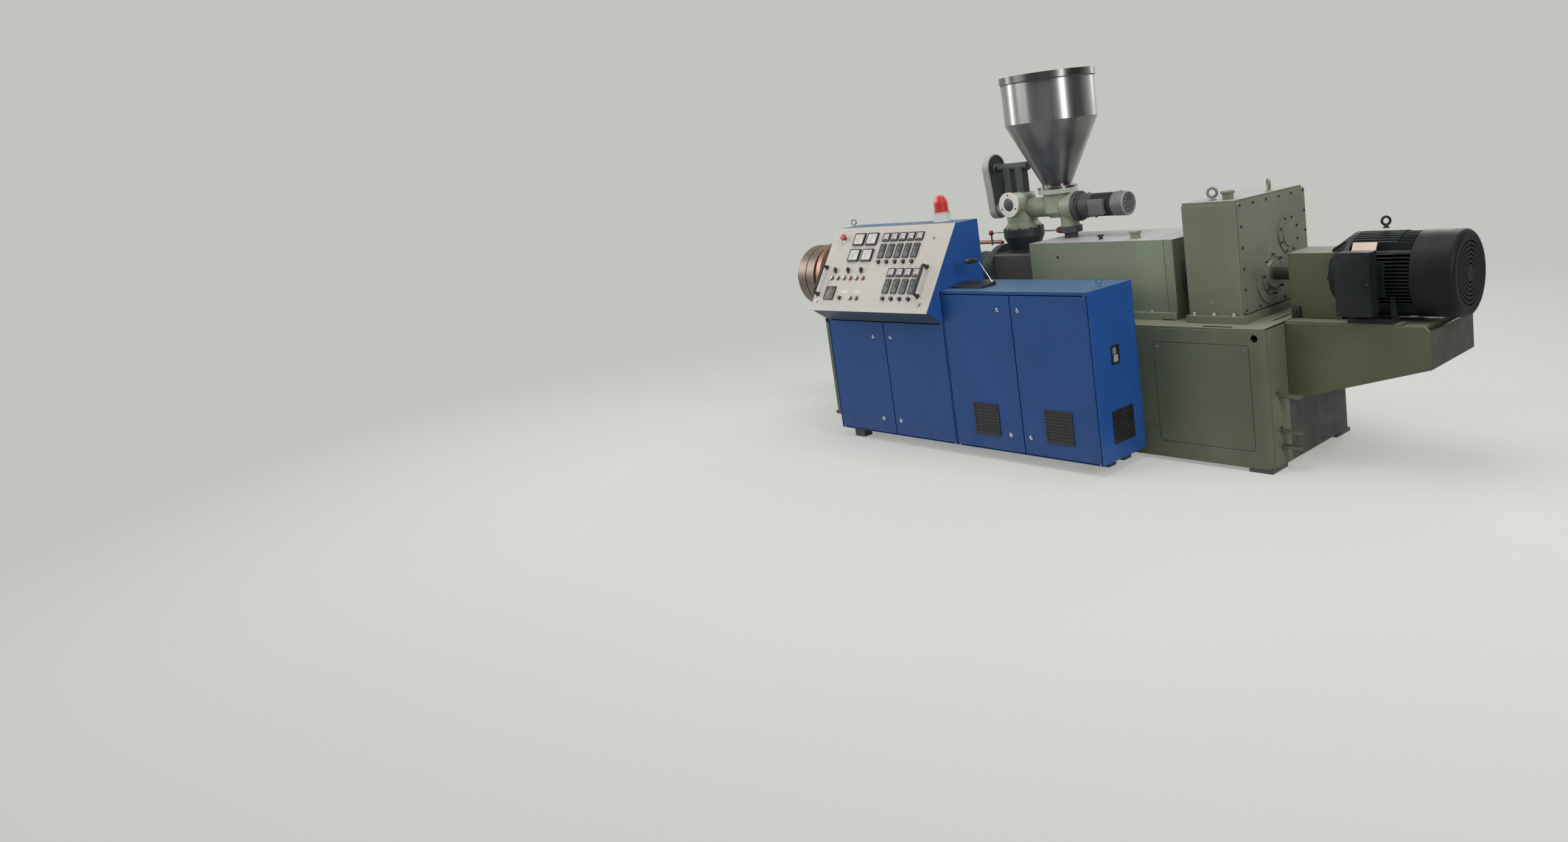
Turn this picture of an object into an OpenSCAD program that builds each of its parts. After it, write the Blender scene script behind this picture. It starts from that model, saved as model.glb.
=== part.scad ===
// Conical twin-screw plastic extruder with its control cabinet.
// X runs along the machine from the die to the motor, -Y is the operator's
// side and Z is up. Lengths are millimetres. Inside the modules x = 0 is the
// cabinet's die end and y = 0 is the face of its doors.

/* [Machine line] */
// Height of the barrel, gearbox input and motor axis above the floor
axis_z = 1025; // [1000:5:1060]
// From the cabinet's die end to the barrel's rear face
feed_x = 930; // [850:5:1000]
// Length of the feed block between barrel flange and distribution box
feed_len = 432; // [400:1:480]
// Length of the distribution box
dist_len = 1078; // [1000:1:1150]
// Length of the round bell between distribution box and reduction gearbox
bell_len = 103; // [90:1:130]
// Length of the reduction gearbox
gear_len = 340; // [320:1:400]
// From the gearbox to the coupling guard
guard_gap = 182; // [150:1:200]
// Length of the coupling guard
guard_len = 215; // [190:1:240]

/* [Base] */
// Length of the base
base_len = 3730; // [3600:10:3900]
// Width of the base
base_w = 920; // [900:10:1000]
// Height of the base's top plate above the floor
base_h = 800; // [780:5:815]
// Height of the levelling pads under the base
pad_h = 22; // [15:1:40]
// Length of a levelling pad
pad_w = 140; // [120:5:180]
// Width of a levelling pad
pad_d = 165; // [120:5:200]
// Radius of the base's upright corners
base_r = 45; // [30:5:120]
// How far the base runs on past the gearbox
base_tail = 197; // [190:1:300]
// Width of a bolted side cover
cover_w = 605; // [500:5:640]
// Height of a bolted side cover
cover_h = 588; // [450:2:600]
// Distance between the left edges of two covers
cover_pitch = 700; // [680:5:760]
// Height of the covers' lower edge
cover_z = 120; // [90:5:140]
// Thickness of a side cover
cover_t = 4; // [3:1:8]
// From the base's motor end to the nearest side cover
cover_in = 95; // [80:5:140]
// Seam left open round a side cover
seam = 3; // [2:1:5]
// Length of an arm on the base's motor end
arm_len = 130; // [90:5:180]
// Width of an arm
arm_w = 45; // [30:1:70]
// Thickness of an arm
arm_t = 14; // [10:1:20]
// From the base's front to the arms
arm_in = 105; // [95:5:130]
// Radius of the lifting hole in the base's front
lift_r = 21; // [15:1:30]

/* [Barrel] */
// Length of the barrel
barrel_len = 1600; // [1500:10:1700]
// Radius of the bare barrel
barrel_r = 130; // [120:1:140]
// Radius of the barrel's rear flange
flange_r = 215; // [190:1:222]
// Thickness of the barrel's rear flange
flange_t = 50; // [40:1:60]
// Number of heater shells
heater_count = 5; // [4:1:6]
// Length of a heater shell
heater_len = 230; // [180:5:250]
// Thickness of a heater shell
heater_t = 36; // [25:1:45]
// Bare barrel left at the flange end
barrel_bare = 170; // [120:5:220]
// Side of a cooling air duct under a heater shell
duct_w = 120; // [90:5:150]

/* [Die] */
// Length of the tapered adapter between barrel and die
adapter_len = 130; // [110:5:160]
// Length of the die body
die_len = 360; // [320:5:420]
// Radius of the die body
die_r = 225; // [200:5:240]
// Length of the die's nozzle
nozzle_len = 120; // [90:5:150]
// Radius of the die's nozzle
nozzle_r = 125; // [110:5:140]
// Radius of the ring gap that shapes the pipe
pipe_r = 80; // [63:1:90]
// Width of the ring gap
lip_gap = 6; // [4:1:10]
// Thickness of the heater bands on the die
band_t = 25; // [15:1:35]
// Width of a heater band on the die
band_w = 95; // [70:5:105]

/* [Feed block] */
// Width of the feed block
feed_w = 290; // [250:5:320]
// Height of the feed block's top above the axis
feed_up = 165; // [150:5:170]
// Height of the feed block's underside below the axis
feed_down = 170; // [150:5:180]
// From the barrel flange to the centre of the feed throat
throat_dx = 165; // [150:5:180]
// Radius of the throat's neck
neck_r = 100; // [90:1:110]
// Radius of the throat's collar
collar_r = 138; // [125:1:145]
// Height of the collar's top above the floor
collar_z = 1345; // [1340:1:1370]
// Height of the collar's upright rim
collar_h = 52; // [45:1:60]
// Radius of the slide gate's rod
rod_r = 5; // [4:1:8]
// From the throat's centre to a ball on the rod
ball_dx = 303; // [280:1:320]
// Radius of a ball on the rod
ball_r = 20; // [15:1:25]

/* [Distribution box] */
// Width of the distribution box
dist_w = 540; // [500:5:580]
// Height of the distribution box
dist_h = 470; // [460:5:480]
// Thickness of the bolting flanges at the foot of both boxes
foot_t = 42; // [30:1:50]
// How far the bolting flanges stand out
foot_out = 26; // [15:1:35]
// Length of the distribution box's end plate
end_plate = 62; // [50:1:80]
// Radius of the round bell's flanges
bell_r = 200; // [180:1:215]

/* [Gearbox] */
// Width of the reduction gearbox
gear_w = 770; // [740:5:775]
// Height of the reduction gearbox
gear_h = 677; // [640:1:720]
// From the base's front to the gearbox's front
gear_set = 140; // [130:1:145]
// Thickness of the gearbox's bolted end plate
end_t = 12; // [8:1:20]
// Radius of the input bearing's cover
bearing_r = 118; // [105:1:125]
// Radius of the seat ring round the input bearing's cover
seat_ring_r = 172; // [150:1:173]
// Radius of the bearing cover beside the input
boss_r = 112; // [90:1:120]
// From the input axis across to the second bearing cover
boss_dy = 215; // [205:5:240]
// From the input axis up to the second bearing cover
boss_dz = 195; // [180:5:240]
// Thickness of the second bearing cover
boss_t = 8; // [6:1:16]

/* [Motor] */
// Shaft height of the motor above its feet
motor_h = 225; // [220:1:235]
// Outer radius of the motor's fins
motor_r = 222; // [210:1:224]
// Depth of the motor's fins
fin_h = 34; // [25:1:40]
// Distance between two fins
fin_pitch = 18; // [14:1:24]
// Thickness of a fin
fin_t = 5; // [4:1:7]
// Length of the tapered end bell
shield_len = 150; // [130:1:170]
// Length of the finned stator body
stator_len = 235; // [220:1:300]
// Length of the fan cowl
cowl_len = 297; // [270:1:320]
// Radius of the fan cowl
cowl_r = 221; // [205:1:223]
// Rounding of the fan cowl's end
cowl_round = 28; // [20:1:70]
// Height of the slide rails under the motor
rail_h = 8; // [4:1:30]
// Width of a slide rail
rail_w = 90; // [70:1:110]
// From the motor's axis to the middle of a foot
foot_y = 178; // [165:1:190]
// Length of the cable box on the motor's side
box_len = 226; // [200:1:230]
// Height of the cable box
box_h = 320; // [280:5:330]
// How far the cable box stands out from the motor's axis
box_out = 332; // [310:1:350]

/* [Motor bracket] */
// Length of the bracket that carries the motor
brk_len = 767; // [740:1:850]
// Width of the bracket
brk_w = 550; // [530:5:600]
// How far the bracket's middle lies behind the motor's axis
brk_off = 45; // [40:5:50]
// Depth of the bracket at the base
brk_deep = 430; // [380:5:480]
// Depth of the bracket at its end
brk_tip = 216; // [180:2:240]
// Thickness of the bracket's plates
brk_t = 20; // [12:1:25]

/* [Coupling] */
// Width of the coupling guard
guard_w = 244; // [220:2:280]
// Height of the guard's top above the axis
guard_up = 130; // [125:1:140]
// Thickness of the guard's sheet
guard_t = 3; // [2:1:4]
// Radius of the coupling's flanges
coupling_r = 95; // [80:1:100]
// Radius of the gearbox's input shaft
shaft_r = 35; // [28:1:40]

/* [Feeder] */
// Height of the feeder's screw axis above the floor
feeder_z = 1478; // [1470:1:1490]
// Radius of the screw tube
tube_r = 66; // [55:1:72]
// Radius of the drop chute
chute_r = 104; // [95:1:112]
// Height of the drop chute's domed top above the floor
chute_top = 1584; // [1578:1:1600]
// From the throat's centre to the hopper's axis
hopper_dx = 330; // [320:1:345]
// Radius of the hopper seat's body
seat_r = 100; // [92:1:106]
// Radius of the hopper seat's flange
seat_flange_r = 130; // [120:1:140]
// Thickness of the hopper seat's flange
seat_flange_t = 30; // [22:1:36]
// Height of the hopper seat above the floor
seat_z = 1594; // [1590:1:1610]
// From the throat's centre to the feeder's foot
leg_dx = 405; // [395:1:415]
// Radius of the feeder's foot
leg_r = 61; // [52:1:66]
// Length of the feeder past its foot
feeder_over = 78; // [70:1:90]
// Radius of the bolted port on the drop chute
port_r = 82; // [70:1:86]
// Radius of the port's disc
port_hole_r = 43; // [38:1:50]
// Thickness of the port's ring
port_t = 14; // [10:1:18]
// Length of the feeder's gearmotor
gm_len = 436; // [400:1:460]
// Radius of the gearmotor
gm_r = 74; // [66:1:80]
// Radius of the gearmotor's flange
gm_flange_r = 97; // [90:1:105]
// Thickness of the belt guard
belt_t = 55; // [45:1:60]
// From the throat's centre to the belt guard
belt_dx = 185; // [175:1:195]
// Radius of the belt guard's top
belt_top_r = 88; // [75:1:95]
// Radius of the belt guard's foot
belt_foot_r = 60; // [55:1:70]
// From the screw axis up to the agitator's shaft
belt_rise = 290; // [270:1:310]
// Radius of the agitator shaft's housing
agit_r = 28; // [22:1:34]
// Length of the agitator shaft's housing
agit_len = 284; // [270:1:300]
// Width of a post under the agitator shaft
post_w = 60; // [45:1:70]

/* [Hopper] */
// Radius of the hopper's cylinder
hopper_r = 300; // [280:1:320]
// Height of the hopper's cylinder
hopper_h = 299; // [250:1:350]
// Height of the hopper's cone
cone_h = 406; // [360:1:440]
// Radius of the cone's outlet
outlet_r = 98; // [90:1:105]
// Thickness of the hopper's sheet
hopper_t = 4; // [3:1:6]
// Height of the band round the hopper's rim
rim_h = 42; // [30:1:50]
// Thickness of the band round the hopper's rim
rim_t = 9; // [6:1:12]
// Thickness of the hopper's foot flange
hopper_foot = 31; // [25:1:35]

/* [Cabinet] */
// Length of the whole cabinet
cab_len = 2320; // [2200:10:2400]
// Length of the desk at the die end
desk_len = 1160; // [1120:5:1200]
// Depth of the cabinet
cab_d = 420; // [400:5:450]
// Height of the low part's top
low_h = 1070; // [1040:5:1100]
// Height of the cabinet's feet
cab_foot = 65; // [50:1:80]
// Thickness of the cabinet's sheet
sheet = 3; // [2:1:4]
// Height of the folded rail under the front of the low part's top
low_rail = 18; // [14:1:40]
// Depth of that rail
rail_d = 24; // [20:1:30]
// Length of the vent on the low part's end
end_vent_w = 196; // [180:2:280]
// Height of the vent on the low part's end
end_vent_h = 194; // [120:2:200]
// From the doors' face to the vent on the low part's end
end_vent_y = 124; // [80:2:130]
// Height of that vent's lower edge above the floor
end_vent_z = 162; // [120:2:300]
// Length of the latch cup on the low part's end
latch_w = 72; // [60:2:120]
// Height of the latch cup
latch_h = 108; // [60:2:120]
// From the doors' face to the latch cup
latch_y = 165; // [120:5:200]
// Height of the latch cup's lower edge above the floor
latch_z = 622; // [500:2:800]
// Width of the upright posts behind the doors
post = 44; // [40:1:60]

/* [Desk] */
// Height of the desk's top
desk_h = 1470; // [1440:5:1500]
// How far the desk's lower lip stands out in front of the doors
lip_out = 137; // [120:1:150]
// Height of the desk's lower lip
lip_z = 955; // [940:1:970]
// Height of the desk's underside at the doors
under_z = 857; // [840:1:870]
// From the doors' face back to the front of the desk's top
top_y = 209; // [190:1:230]
// Thickness of the instrument panel
panel_t = 4; // [3:1:6]
// How far the panel's edge stands out past the desk
panel_lip = 8; // [4:1:12]
// Width and height of a large meter
meter_w = 120; // [100:1:125]
// Height of a large meter
meter_h = 100; // [90:1:110]
// Side of a small meter
small_meter = 68; // [60:1:74]
// Width of a temperature controller
ctl_w = 48; // [44:1:56]
// Height of a temperature controller
ctl_h = 98; // [90:1:104]
// From the desk's left edge to the first temperature controller
ctl_first = 560; // [540:2:580]
// Distance between two temperature controllers
ctl_pitch = 81.5; // [76:0.5:84]
// Radius of a rotary knob
knob_r = 16; // [12:1:19]
// Radius of a push button
button_r = 14; // [11:1:16]
// Length of a grab handle's bar
grab_len = 200; // [160:5:220]
// From the desk's left edge to the left grab handle
grab_left = 30; // [24:1:60]
// From the desk's right edge to the right grab handle
grab_right = 145; // [60:5:160]
// How far a grab handle stands out
grab_out = 45; // [35:1:55]
// Radius of a grab handle's bar
grab_r = 7; // [5:1:9]
// From the desk's left edge to the beacon
beacon_x = 905; // [850:5:950]
// From the front edge of the desk's top back to the beacon
beacon_in = 150; // [100:5:155]
// From the desk's end to the hand lever's plate
lever_out = 150; // [140:5:300]
// Length of the hand lever's plate
lever_plate = 260; // [220:5:270]
// Width of the hand lever's plate
lever_deep = 140; // [100:5:160]

/* [Doors] */
// Thickness of a door
door_t = 20; // [18:1:26]
// Open gap round a door
door_gap = 6.5; // [6:0.5:8]
// Width of the folded rim inside a door
door_rim = 24; // [22:1:40]
// Thickness of a door's skin
skin = 2.5; // [2:0.5:4]
// Rounding of a door's folded upright edges
fold_r = 4; // [3:0.5:5]
// From a door's upright edge to its hinge pin
pin_in = 12; // [11:1:14]
// From a door's face to its hinge pin
pin_back = 8; // [8:1:9]
// Radius of a hinge pin
pin_r = 4; // [3:0.5:4.5]
// Reach of a hinge pin into the door
pin_len = 18; // [12:1:20]
// Width of a louvred vent
vent_w = 206; // [190:2:300]
// Height of a louvred vent
vent_h = 202; // [190:2:260]
// From a door's lower edge up to its vent
vent_up = 89; // [60:1:120]
// Thickness of a louvred vent
vent_t = 6; // [4:1:8]

/* [Clearances] */
// Radial clearance between a pin or rod and its bore
run_fit = 0.3; // [0.2:0.05:0.5]
// Gap between two faces that rest on each other at a joint
seat_gap = 0.3; // [0.2:0.05:0.4]

/* [Hidden] */

$fn = 96;
eps = 0.01;

// Stations along the machine, from the die to the fan cowl
barrel_x0 = feed_x - barrel_len;
flange_x1 = feed_x + flange_t;
dist_x0 = flange_x1 + feed_len;
dist_x1 = dist_x0 + dist_len;
gear_x0 = dist_x1 + bell_len;
gear_x1 = gear_x0 + gear_len;
guard_x0 = gear_x1 + guard_gap;
shield_x0 = guard_x0 + guard_len;
stator_x0 = shield_x0 + shield_len;
cowl_x0 = stator_x0 + stator_len;
cowl_x1 = cowl_x0 + cowl_len;
die_x1 = barrel_x0 - adapter_len;
die_x0 = die_x1 - die_len;
nozzle_x0 = die_x0 - nozzle_len;
base_x1 = gear_x1 + base_tail;
base_x0 = base_x1 - base_len;
throat_x = flange_x1 + throat_dx;
hopper_x = throat_x + hopper_dx;
leg_x = throat_x + leg_dx;
feeder_x1 = leg_x + feeder_over;
belt_x1 = throat_x - belt_dx;

// Stations across the machine and heights
base_y0 = cab_d;
base_y1 = base_y0 + base_w;
axis_y = base_y0 + base_w / 2;
gear_y0 = base_y0 + gear_set;
dist_top = base_h + dist_h;
foot_z = axis_z - motor_h;
brk_top = foot_z - rail_h;
brk_x1 = base_x1 + brk_len;
cone_z = seat_z + hopper_foot;
cylinder_z = cone_z + cone_h;
rim_z = cylinder_z + hopper_h;
heater_r = barrel_r + heater_t;

// Slope of the instrument panel
slope = atan2(desk_h - lip_z, top_y + lip_out);
slant = norm([desk_h - lip_z, top_y + lip_out]);

// Middle of the whole machine, which the origin stands under
front_y = -lip_out - panel_lip * cos(slope) - panel_t * sin(slope);
mid_x = (nozzle_x0 + cowl_x1) / 2;
mid_y = (front_y + base_y1) / 2;

// Doors: left edge, width, lower and upper edge, hinge at the right or left
door_z0 = cab_foot + sheet + door_gap;
desk_door_w = (desk_len - sheet * 1.5 - door_gap * 3) / 2;
low_door_w = (cab_len - desk_len - sheet * 1.5 - door_gap * 3) / 2;
desk_door_z1 = under_z - door_gap;
low_door_z1 = low_h - low_rail - door_gap;
door_x = [
    sheet + door_gap,
    sheet + door_gap * 2 + desk_door_w,
    desk_len + sheet / 2 + door_gap,
    desk_len + sheet / 2 + door_gap * 2 + low_door_w
];
door_w = [desk_door_w, desk_door_w, low_door_w, low_door_w];
door_z1 = [desk_door_z1, desk_door_z1, low_door_z1, low_door_z1];
door_right = [false, true, false, true];

heel_r = door_t / 2;

function pin_x(i) = door_right[i] ? door_x[i] + door_w[i] - pin_in : door_x[i] + pin_in;

// Colours
sage = [0.40, 0.47, 0.38];
sage_light = [0.52, 0.58, 0.47];
dark = [0.13, 0.15, 0.16];
blue = [0.10, 0.25, 0.55];
pale = [0.80, 0.78, 0.74];
steel = [0.66, 0.67, 0.69];
graphite = [0.25, 0.25, 0.27];
copper = [0.50, 0.36, 0.27];
red = [0.70, 0.12, 0.10];

// Moves the finished pieces so that the origin is under the middle
module place() {
    translate([-mid_x, -mid_y, 0]) children();
}

// Extrudes an outline drawn in X and Z from y0 over the thickness t
module xz_plate(y0, t) {
    translate([0, y0 + t, 0]) rotate([90, 0, 0]) linear_extrude(t) children();
}

// Extrudes an outline drawn in Y and Z from x0 over the length t
module yz_plate(x0, t) {
    translate([x0, 0, 0]) rotate([90, 0, 90]) linear_extrude(t) children();
}

// Turns an outline drawn as [radius, X] about the machine's axis
module turned(y = axis_y, z = axis_z) {
    translate([0, y, z]) rotate([0, 90, 0]) rotate_extrude() children();
}

// Rod along X
module x_rod(x0, len, r, y = axis_y, z = axis_z) {
    translate([x0, y, z]) rotate([0, 90, 0]) cylinder(h = len, r = r);
}

// Rectangle with round corners, from its lower left corner
module round_rect(size, r) {
    translate([r, 0]) square([size[0] - 2 * r, size[1]]);
    translate([0, r]) square([size[0], size[1] - 2 * r]);
    for (x = [r, size[0] - r], y = [r, size[1] - r]) translate([x, y]) circle(r);
}

// Two circles of different radius joined by their outer tangents
module belt_outline(r_low, r_high, rise) {
    lean = asin((r_high - r_low) / rise);
    circle(r_low);
    translate([0, rise]) circle(r_high);
    polygon([
        [r_low * cos(lean), -r_low * sin(lean)],
        [r_high * cos(lean), rise - r_high * sin(lean)],
        [-r_high * cos(lean), rise - r_high * sin(lean)],
        [-r_low * cos(lean), -r_low * sin(lean)]
    ]);
}

module base_outline(inset = 0) {
    translate([base_x0 + inset, base_y0 + inset])
        round_rect([base_len - 2 * inset, base_w - 2 * inset], base_r - inset);
}

cover_count = 1 + floor((base_len - cover_in - base_r - cover_w) / cover_pitch);

function cover_x(i) = base_x1 - cover_in - cover_w - i * cover_pitch;

// Outline of the side covers, grown by a margin
module cover_outline(grow) {
    for (i = [0 : cover_count - 1])
        translate([cover_x(i) - grow, cover_z - grow])
            round_rect([cover_w + 2 * grow, cover_h + 2 * grow], 15 + grow);
}

top_edge = 12;
arm_tops = [134, 219, 417];
lift_in = 57;
lift_down = 51;
slot_deep = 10;
front_slot = [182, 26];
end_slot = [14, 190];

// Welded base: skins with round upright corners, bevelled top plate with two
// slots, shallow seats for the side covers, a lifting hole near every corner
// and three arms on the motor end
module base_frame() {
    color(sage) place() {
        difference() {
            union() {
                translate([0, 0, pad_h]) linear_extrude(base_h - pad_h - top_edge) base_outline();
                translate([0, 0, base_h - top_edge - eps]) linear_extrude(top_edge + eps) base_outline(8);
            }
            xz_plate(base_y0 - eps, cover_t + eps) cover_outline(seam);
            xz_plate(base_y1 - cover_t, cover_t + eps) cover_outline(seam);
            for (x = [base_x0 + lift_in, base_x1 - lift_in])
                translate([x, base_y0 - eps, base_h - lift_down]) rotate([-90, 0, 0])
                    cylinder(h = base_w + 2 * eps, r = lift_r);
            translate([gear_x1 - 10 - front_slot[0], base_y0 + 30, base_h - slot_deep])
                cube([front_slot[0], front_slot[1], slot_deep + eps]);
            translate([base_x1 - 65 - end_slot[0], gear_y0 + 100, base_h - slot_deep])
                cube([end_slot[0], end_slot[1], slot_deep + eps]);
        }
        for (z = arm_tops)
            translate([base_x1 - eps, base_y0 + arm_in, z - arm_t]) cube([arm_len + eps, arm_w, arm_t]);
    }
}

// Levelling pads under both long sides of the base
module base_pads() {
    flush = 2;
    pad_x = [for (i = [0 : 3]) base_x0 + flush + i * (base_len - pad_w - 2 * flush) / 3];
    color(graphite) place() for (x = pad_x, y = [base_y0 + flush, base_y1 - pad_d - flush])
        translate([x, y, 0]) cube([pad_w, pad_d, pad_h]);
}

// Bolted cover plates on both long sides of the base
module base_covers() {
    color(sage) place() {
        xz_plate(base_y0, cover_t) cover_outline(0);
        xz_plate(base_y1 - cover_t, cover_t) cover_outline(0);
    }
}

// Welded bracket with tapered side plates, a bevelled end and the motor's
// slide rails on top
module motor_bracket() {
    brk_y0 = axis_y + brk_off - brk_w / 2;
    bevel = 26;
    side = [
        [base_x1, brk_top], [brk_x1 - bevel, brk_top], [brk_x1, brk_top - bevel],
        [brk_x1, brk_top - brk_tip], [base_x1, brk_top - brk_deep]
    ];
    color(sage) place() {
        for (y = [brk_y0, brk_y0 + brk_w - brk_t]) xz_plate(y, brk_t) polygon(side);
        translate([base_x1, brk_y0, brk_top - brk_t]) cube([brk_len - bevel, brk_w, brk_t]);
        translate([brk_x1 - brk_t, brk_y0, brk_top - brk_tip]) cube([brk_t, brk_w, brk_tip - bevel]);
        translate([base_x1, brk_y0, brk_top - brk_deep]) cube([brk_t, brk_w, brk_deep]);
        for (side_y = [-1, 1])
            translate([base_x1, axis_y + side_y * foot_y - rail_w / 2, brk_top - eps])
                cube([cowl_x0 - base_x1 + 40, rail_w, rail_h + eps]);
    }
}

core_r = motor_r - fin_h;
box_gap = 4;
fin_rows = floor(0.62 * motor_r / fin_pitch);

// Cast stator: parallel fins on its four sides, two feet and a pad on the
// operator's side for the cable box
module stator() {
    foot_h = 24;
    pad_z = 84;
    translate([0, axis_y, axis_z]) {
        yz_plate(stator_x0, stator_len) {
            circle(core_r);
            intersection() {
                circle(motor_r);
                for (i = [-fin_rows : fin_rows], turn = [0, 90])
                    rotate(turn) translate([-motor_r, i * fin_pitch - fin_t / 2])
                        square([2 * motor_r, fin_t]);
            }
        }
        translate([stator_x0 + 13, -motor_r - box_gap, -pad_z])
            cube([stator_len - 50, fin_h + box_gap + 60, 2 * pad_z]);
        for (side_y = [-1, 1]) {
            translate([stator_x0, side_y * foot_y - rail_w / 2, -motor_h])
                cube([stator_len, rail_w, foot_h]);
            for (x = [stator_x0, stator_x0 + stator_len - 22])
                translate([x, side_y * foot_y - 16, -motor_h + foot_h - eps])
                    cube([22, 32, motor_h - foot_h - core_r * 0.45]);
        }
    }
}

// Tapered drive-end shield with ribs
module end_bell() {
    rim = 26;
    hub_r = 88;
    turned() polygon([
        [shaft_r + run_fit, shield_x0], [hub_r, shield_x0], [hub_r + 6, shield_x0 + 18],
        [motor_r * 0.70, shield_x0 + 26], [motor_r * 0.9, stator_x0 - rim - 34],
        [motor_r - 4, stator_x0 - rim], [motor_r, stator_x0 - rim], [motor_r, stator_x0 + eps],
        [shaft_r + run_fit, stator_x0 + eps]
    ]);
    translate([0, axis_y, axis_z]) for (turn = [30 : 60 : 330]) rotate([turn, 0, 0])
        xz_plate(-6, 12) polygon([
            [shield_x0 + 4, hub_r - 20], [shield_x0 + 4, hub_r + 4], [shield_x0 + 22, motor_r * 0.74],
            [stator_x0 - rim - 20, motor_r - 6], [stator_x0 - 10, motor_r - 6], [stator_x0 - 10, hub_r]
        ]);
}

module motor_housing() {
    color(dark) place() {
        stator();
        end_bell();
    }
}

// Fan cowl with a rounded end and ring slots in its face
module fan_cowl() {
    slot_w = 7;
    color(dark) place() difference() {
        turned() {
            translate([0, cowl_x0]) square([cowl_r, cowl_len - cowl_round]);
            translate([0, cowl_x1 - cowl_round - eps]) square([cowl_r - cowl_round, cowl_round + eps]);
            translate([cowl_r - cowl_round, cowl_x1 - cowl_round]) intersection() {
                circle(cowl_round);
                square(cowl_round);
            }
        }
        for (r = [45 : 22 : cowl_r - cowl_round - slot_w])
            turned() translate([r, cowl_x1 - 12]) square([slot_w, 12 + eps]);
    }
}

// Cable box on the operator's side of the motor
module cable_box() {
    box_x0 = stator_x0 - 17;
    box_z0 = axis_z - box_h / 2 - 5;
    box_y0 = axis_y - box_out;
    lid = 26;
    color(dark) place() {
        translate([box_x0, box_y0 + lid - eps, box_z0])
            cube([box_len, box_out - motor_r - box_gap - lid + eps, box_h]);
        xz_plate(box_y0, lid) translate([box_x0 - 5, box_z0 - 5]) round_rect([box_len + 10, box_h + 10], 14);
    }
}

// Flanged coupling between motor and gearbox
module coupling() {
    disc_t = 40;
    mid = (guard_x0 + shield_x0) / 2;
    shaft_x0 = gear_x1 + end_t + bearing_step * 2;
    color(graphite) place() turned() {
        translate([0, shaft_x0]) square([shaft_r, stator_x0 - shaft_x0]);
        for (x = [mid - disc_t - 4, mid + 4]) translate([0, x]) square([coupling_r, disc_t]);
        translate([0, mid - disc_t - 40]) square([shaft_r + 22, 2 * disc_t + 80]);
    }
}

// Bent sheet guard over the coupling, open at both ends
module coupling_guard() {
    y0 = axis_y - guard_w / 2;
    height = axis_z + guard_up - base_h;
    color(sage) place() yz_plate(guard_x0, guard_len) difference() {
        translate([y0, base_h]) square([guard_w, height]);
        translate([y0 + guard_t, base_h - eps]) square([guard_w - 2 * guard_t, height - guard_t + eps]);
    }
}

gear_foot_gap = 4;

// Tall reduction gearbox with a bolting foot and a cover flange on top
module gearbox_housing() {
    color(sage) place() {
        translate([gear_x0, gear_y0, base_h]) {
            linear_extrude(gear_h - 18) round_rect([gear_len, gear_w], 18);
            translate([4, 4, gear_h - 18 - eps]) linear_extrude(18 + eps)
                round_rect([gear_len - 8, gear_w - 8], 18);
            translate([0, -foot_out, 0]) cube([gear_len + foot_out, foot_out + 60, foot_t]);
            translate([0, gear_w - 60, 0]) cube([gear_len + foot_out, 60, foot_t]);
            translate([gear_len - 40, 0, 0]) cube([40 + foot_out, gear_w, foot_t]);
        }
    }
}

bearing_step = 14;

// Bolted end plate with the stepped cover of the input bearing and a flat
// cover on the bearing beside it
module gearbox_end_cover() {
    margin = 14;
    seat_ring_t = 6;
    color(sage) place() {
        yz_plate(gear_x1, end_t) translate([gear_y0 + margin, base_h + foot_t + 8])
            round_rect([gear_w - 2 * margin, gear_h - foot_t - 8 - margin], 12);
        x_rod(gear_x1, end_t + seat_ring_t, seat_ring_r, axis_y, axis_z);
        x_rod(gear_x1, end_t + boss_t, boss_r, axis_y + boss_dy, axis_z + boss_dz);
        x_rod(gear_x1, end_t + boss_t + 6, boss_r - 40, axis_y + boss_dy, axis_z + boss_dz);
        turned() polygon([
            [0, gear_x1], [bearing_r, gear_x1], [bearing_r, gear_x1 + end_t + bearing_step],
            [bearing_r - 14, gear_x1 + end_t + bearing_step], [bearing_r - 22, gear_x1 + end_t + 8],
            [bearing_r - 30, gear_x1 + end_t + 8], [bearing_r - 38, gear_x1 + end_t + bearing_step * 2],
            [0, gear_x1 + end_t + bearing_step * 2]
        ]);
    }
}

// Flared cap with its neck, drawn upright from the origin
module cap_shape(r, h) {
    rotate_extrude() polygon([
        [0, 0], [r * 0.55, 0], [r * 0.55, h * 0.35], [r, h * 0.6], [r, h * 0.9], [r * 0.8, h], [0, h]
    ]);
}

// Breather and filler caps on both gear housings
module oil_fittings() {
    color(dark) place() {
        translate([gear_x0 + gear_len * 0.80, gear_y0 + 90, base_h + gear_h]) cap_shape(34, 52);
        translate([dist_x0 + dist_len * 0.78, axis_y - dist_w / 2 + 60, dist_top]) cap_shape(34, 46);
        translate([dist_x0 + dist_len * 0.54, axis_y - dist_w / 2 + 60, dist_top]) cap_shape(17, 44);
    }
}

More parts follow.
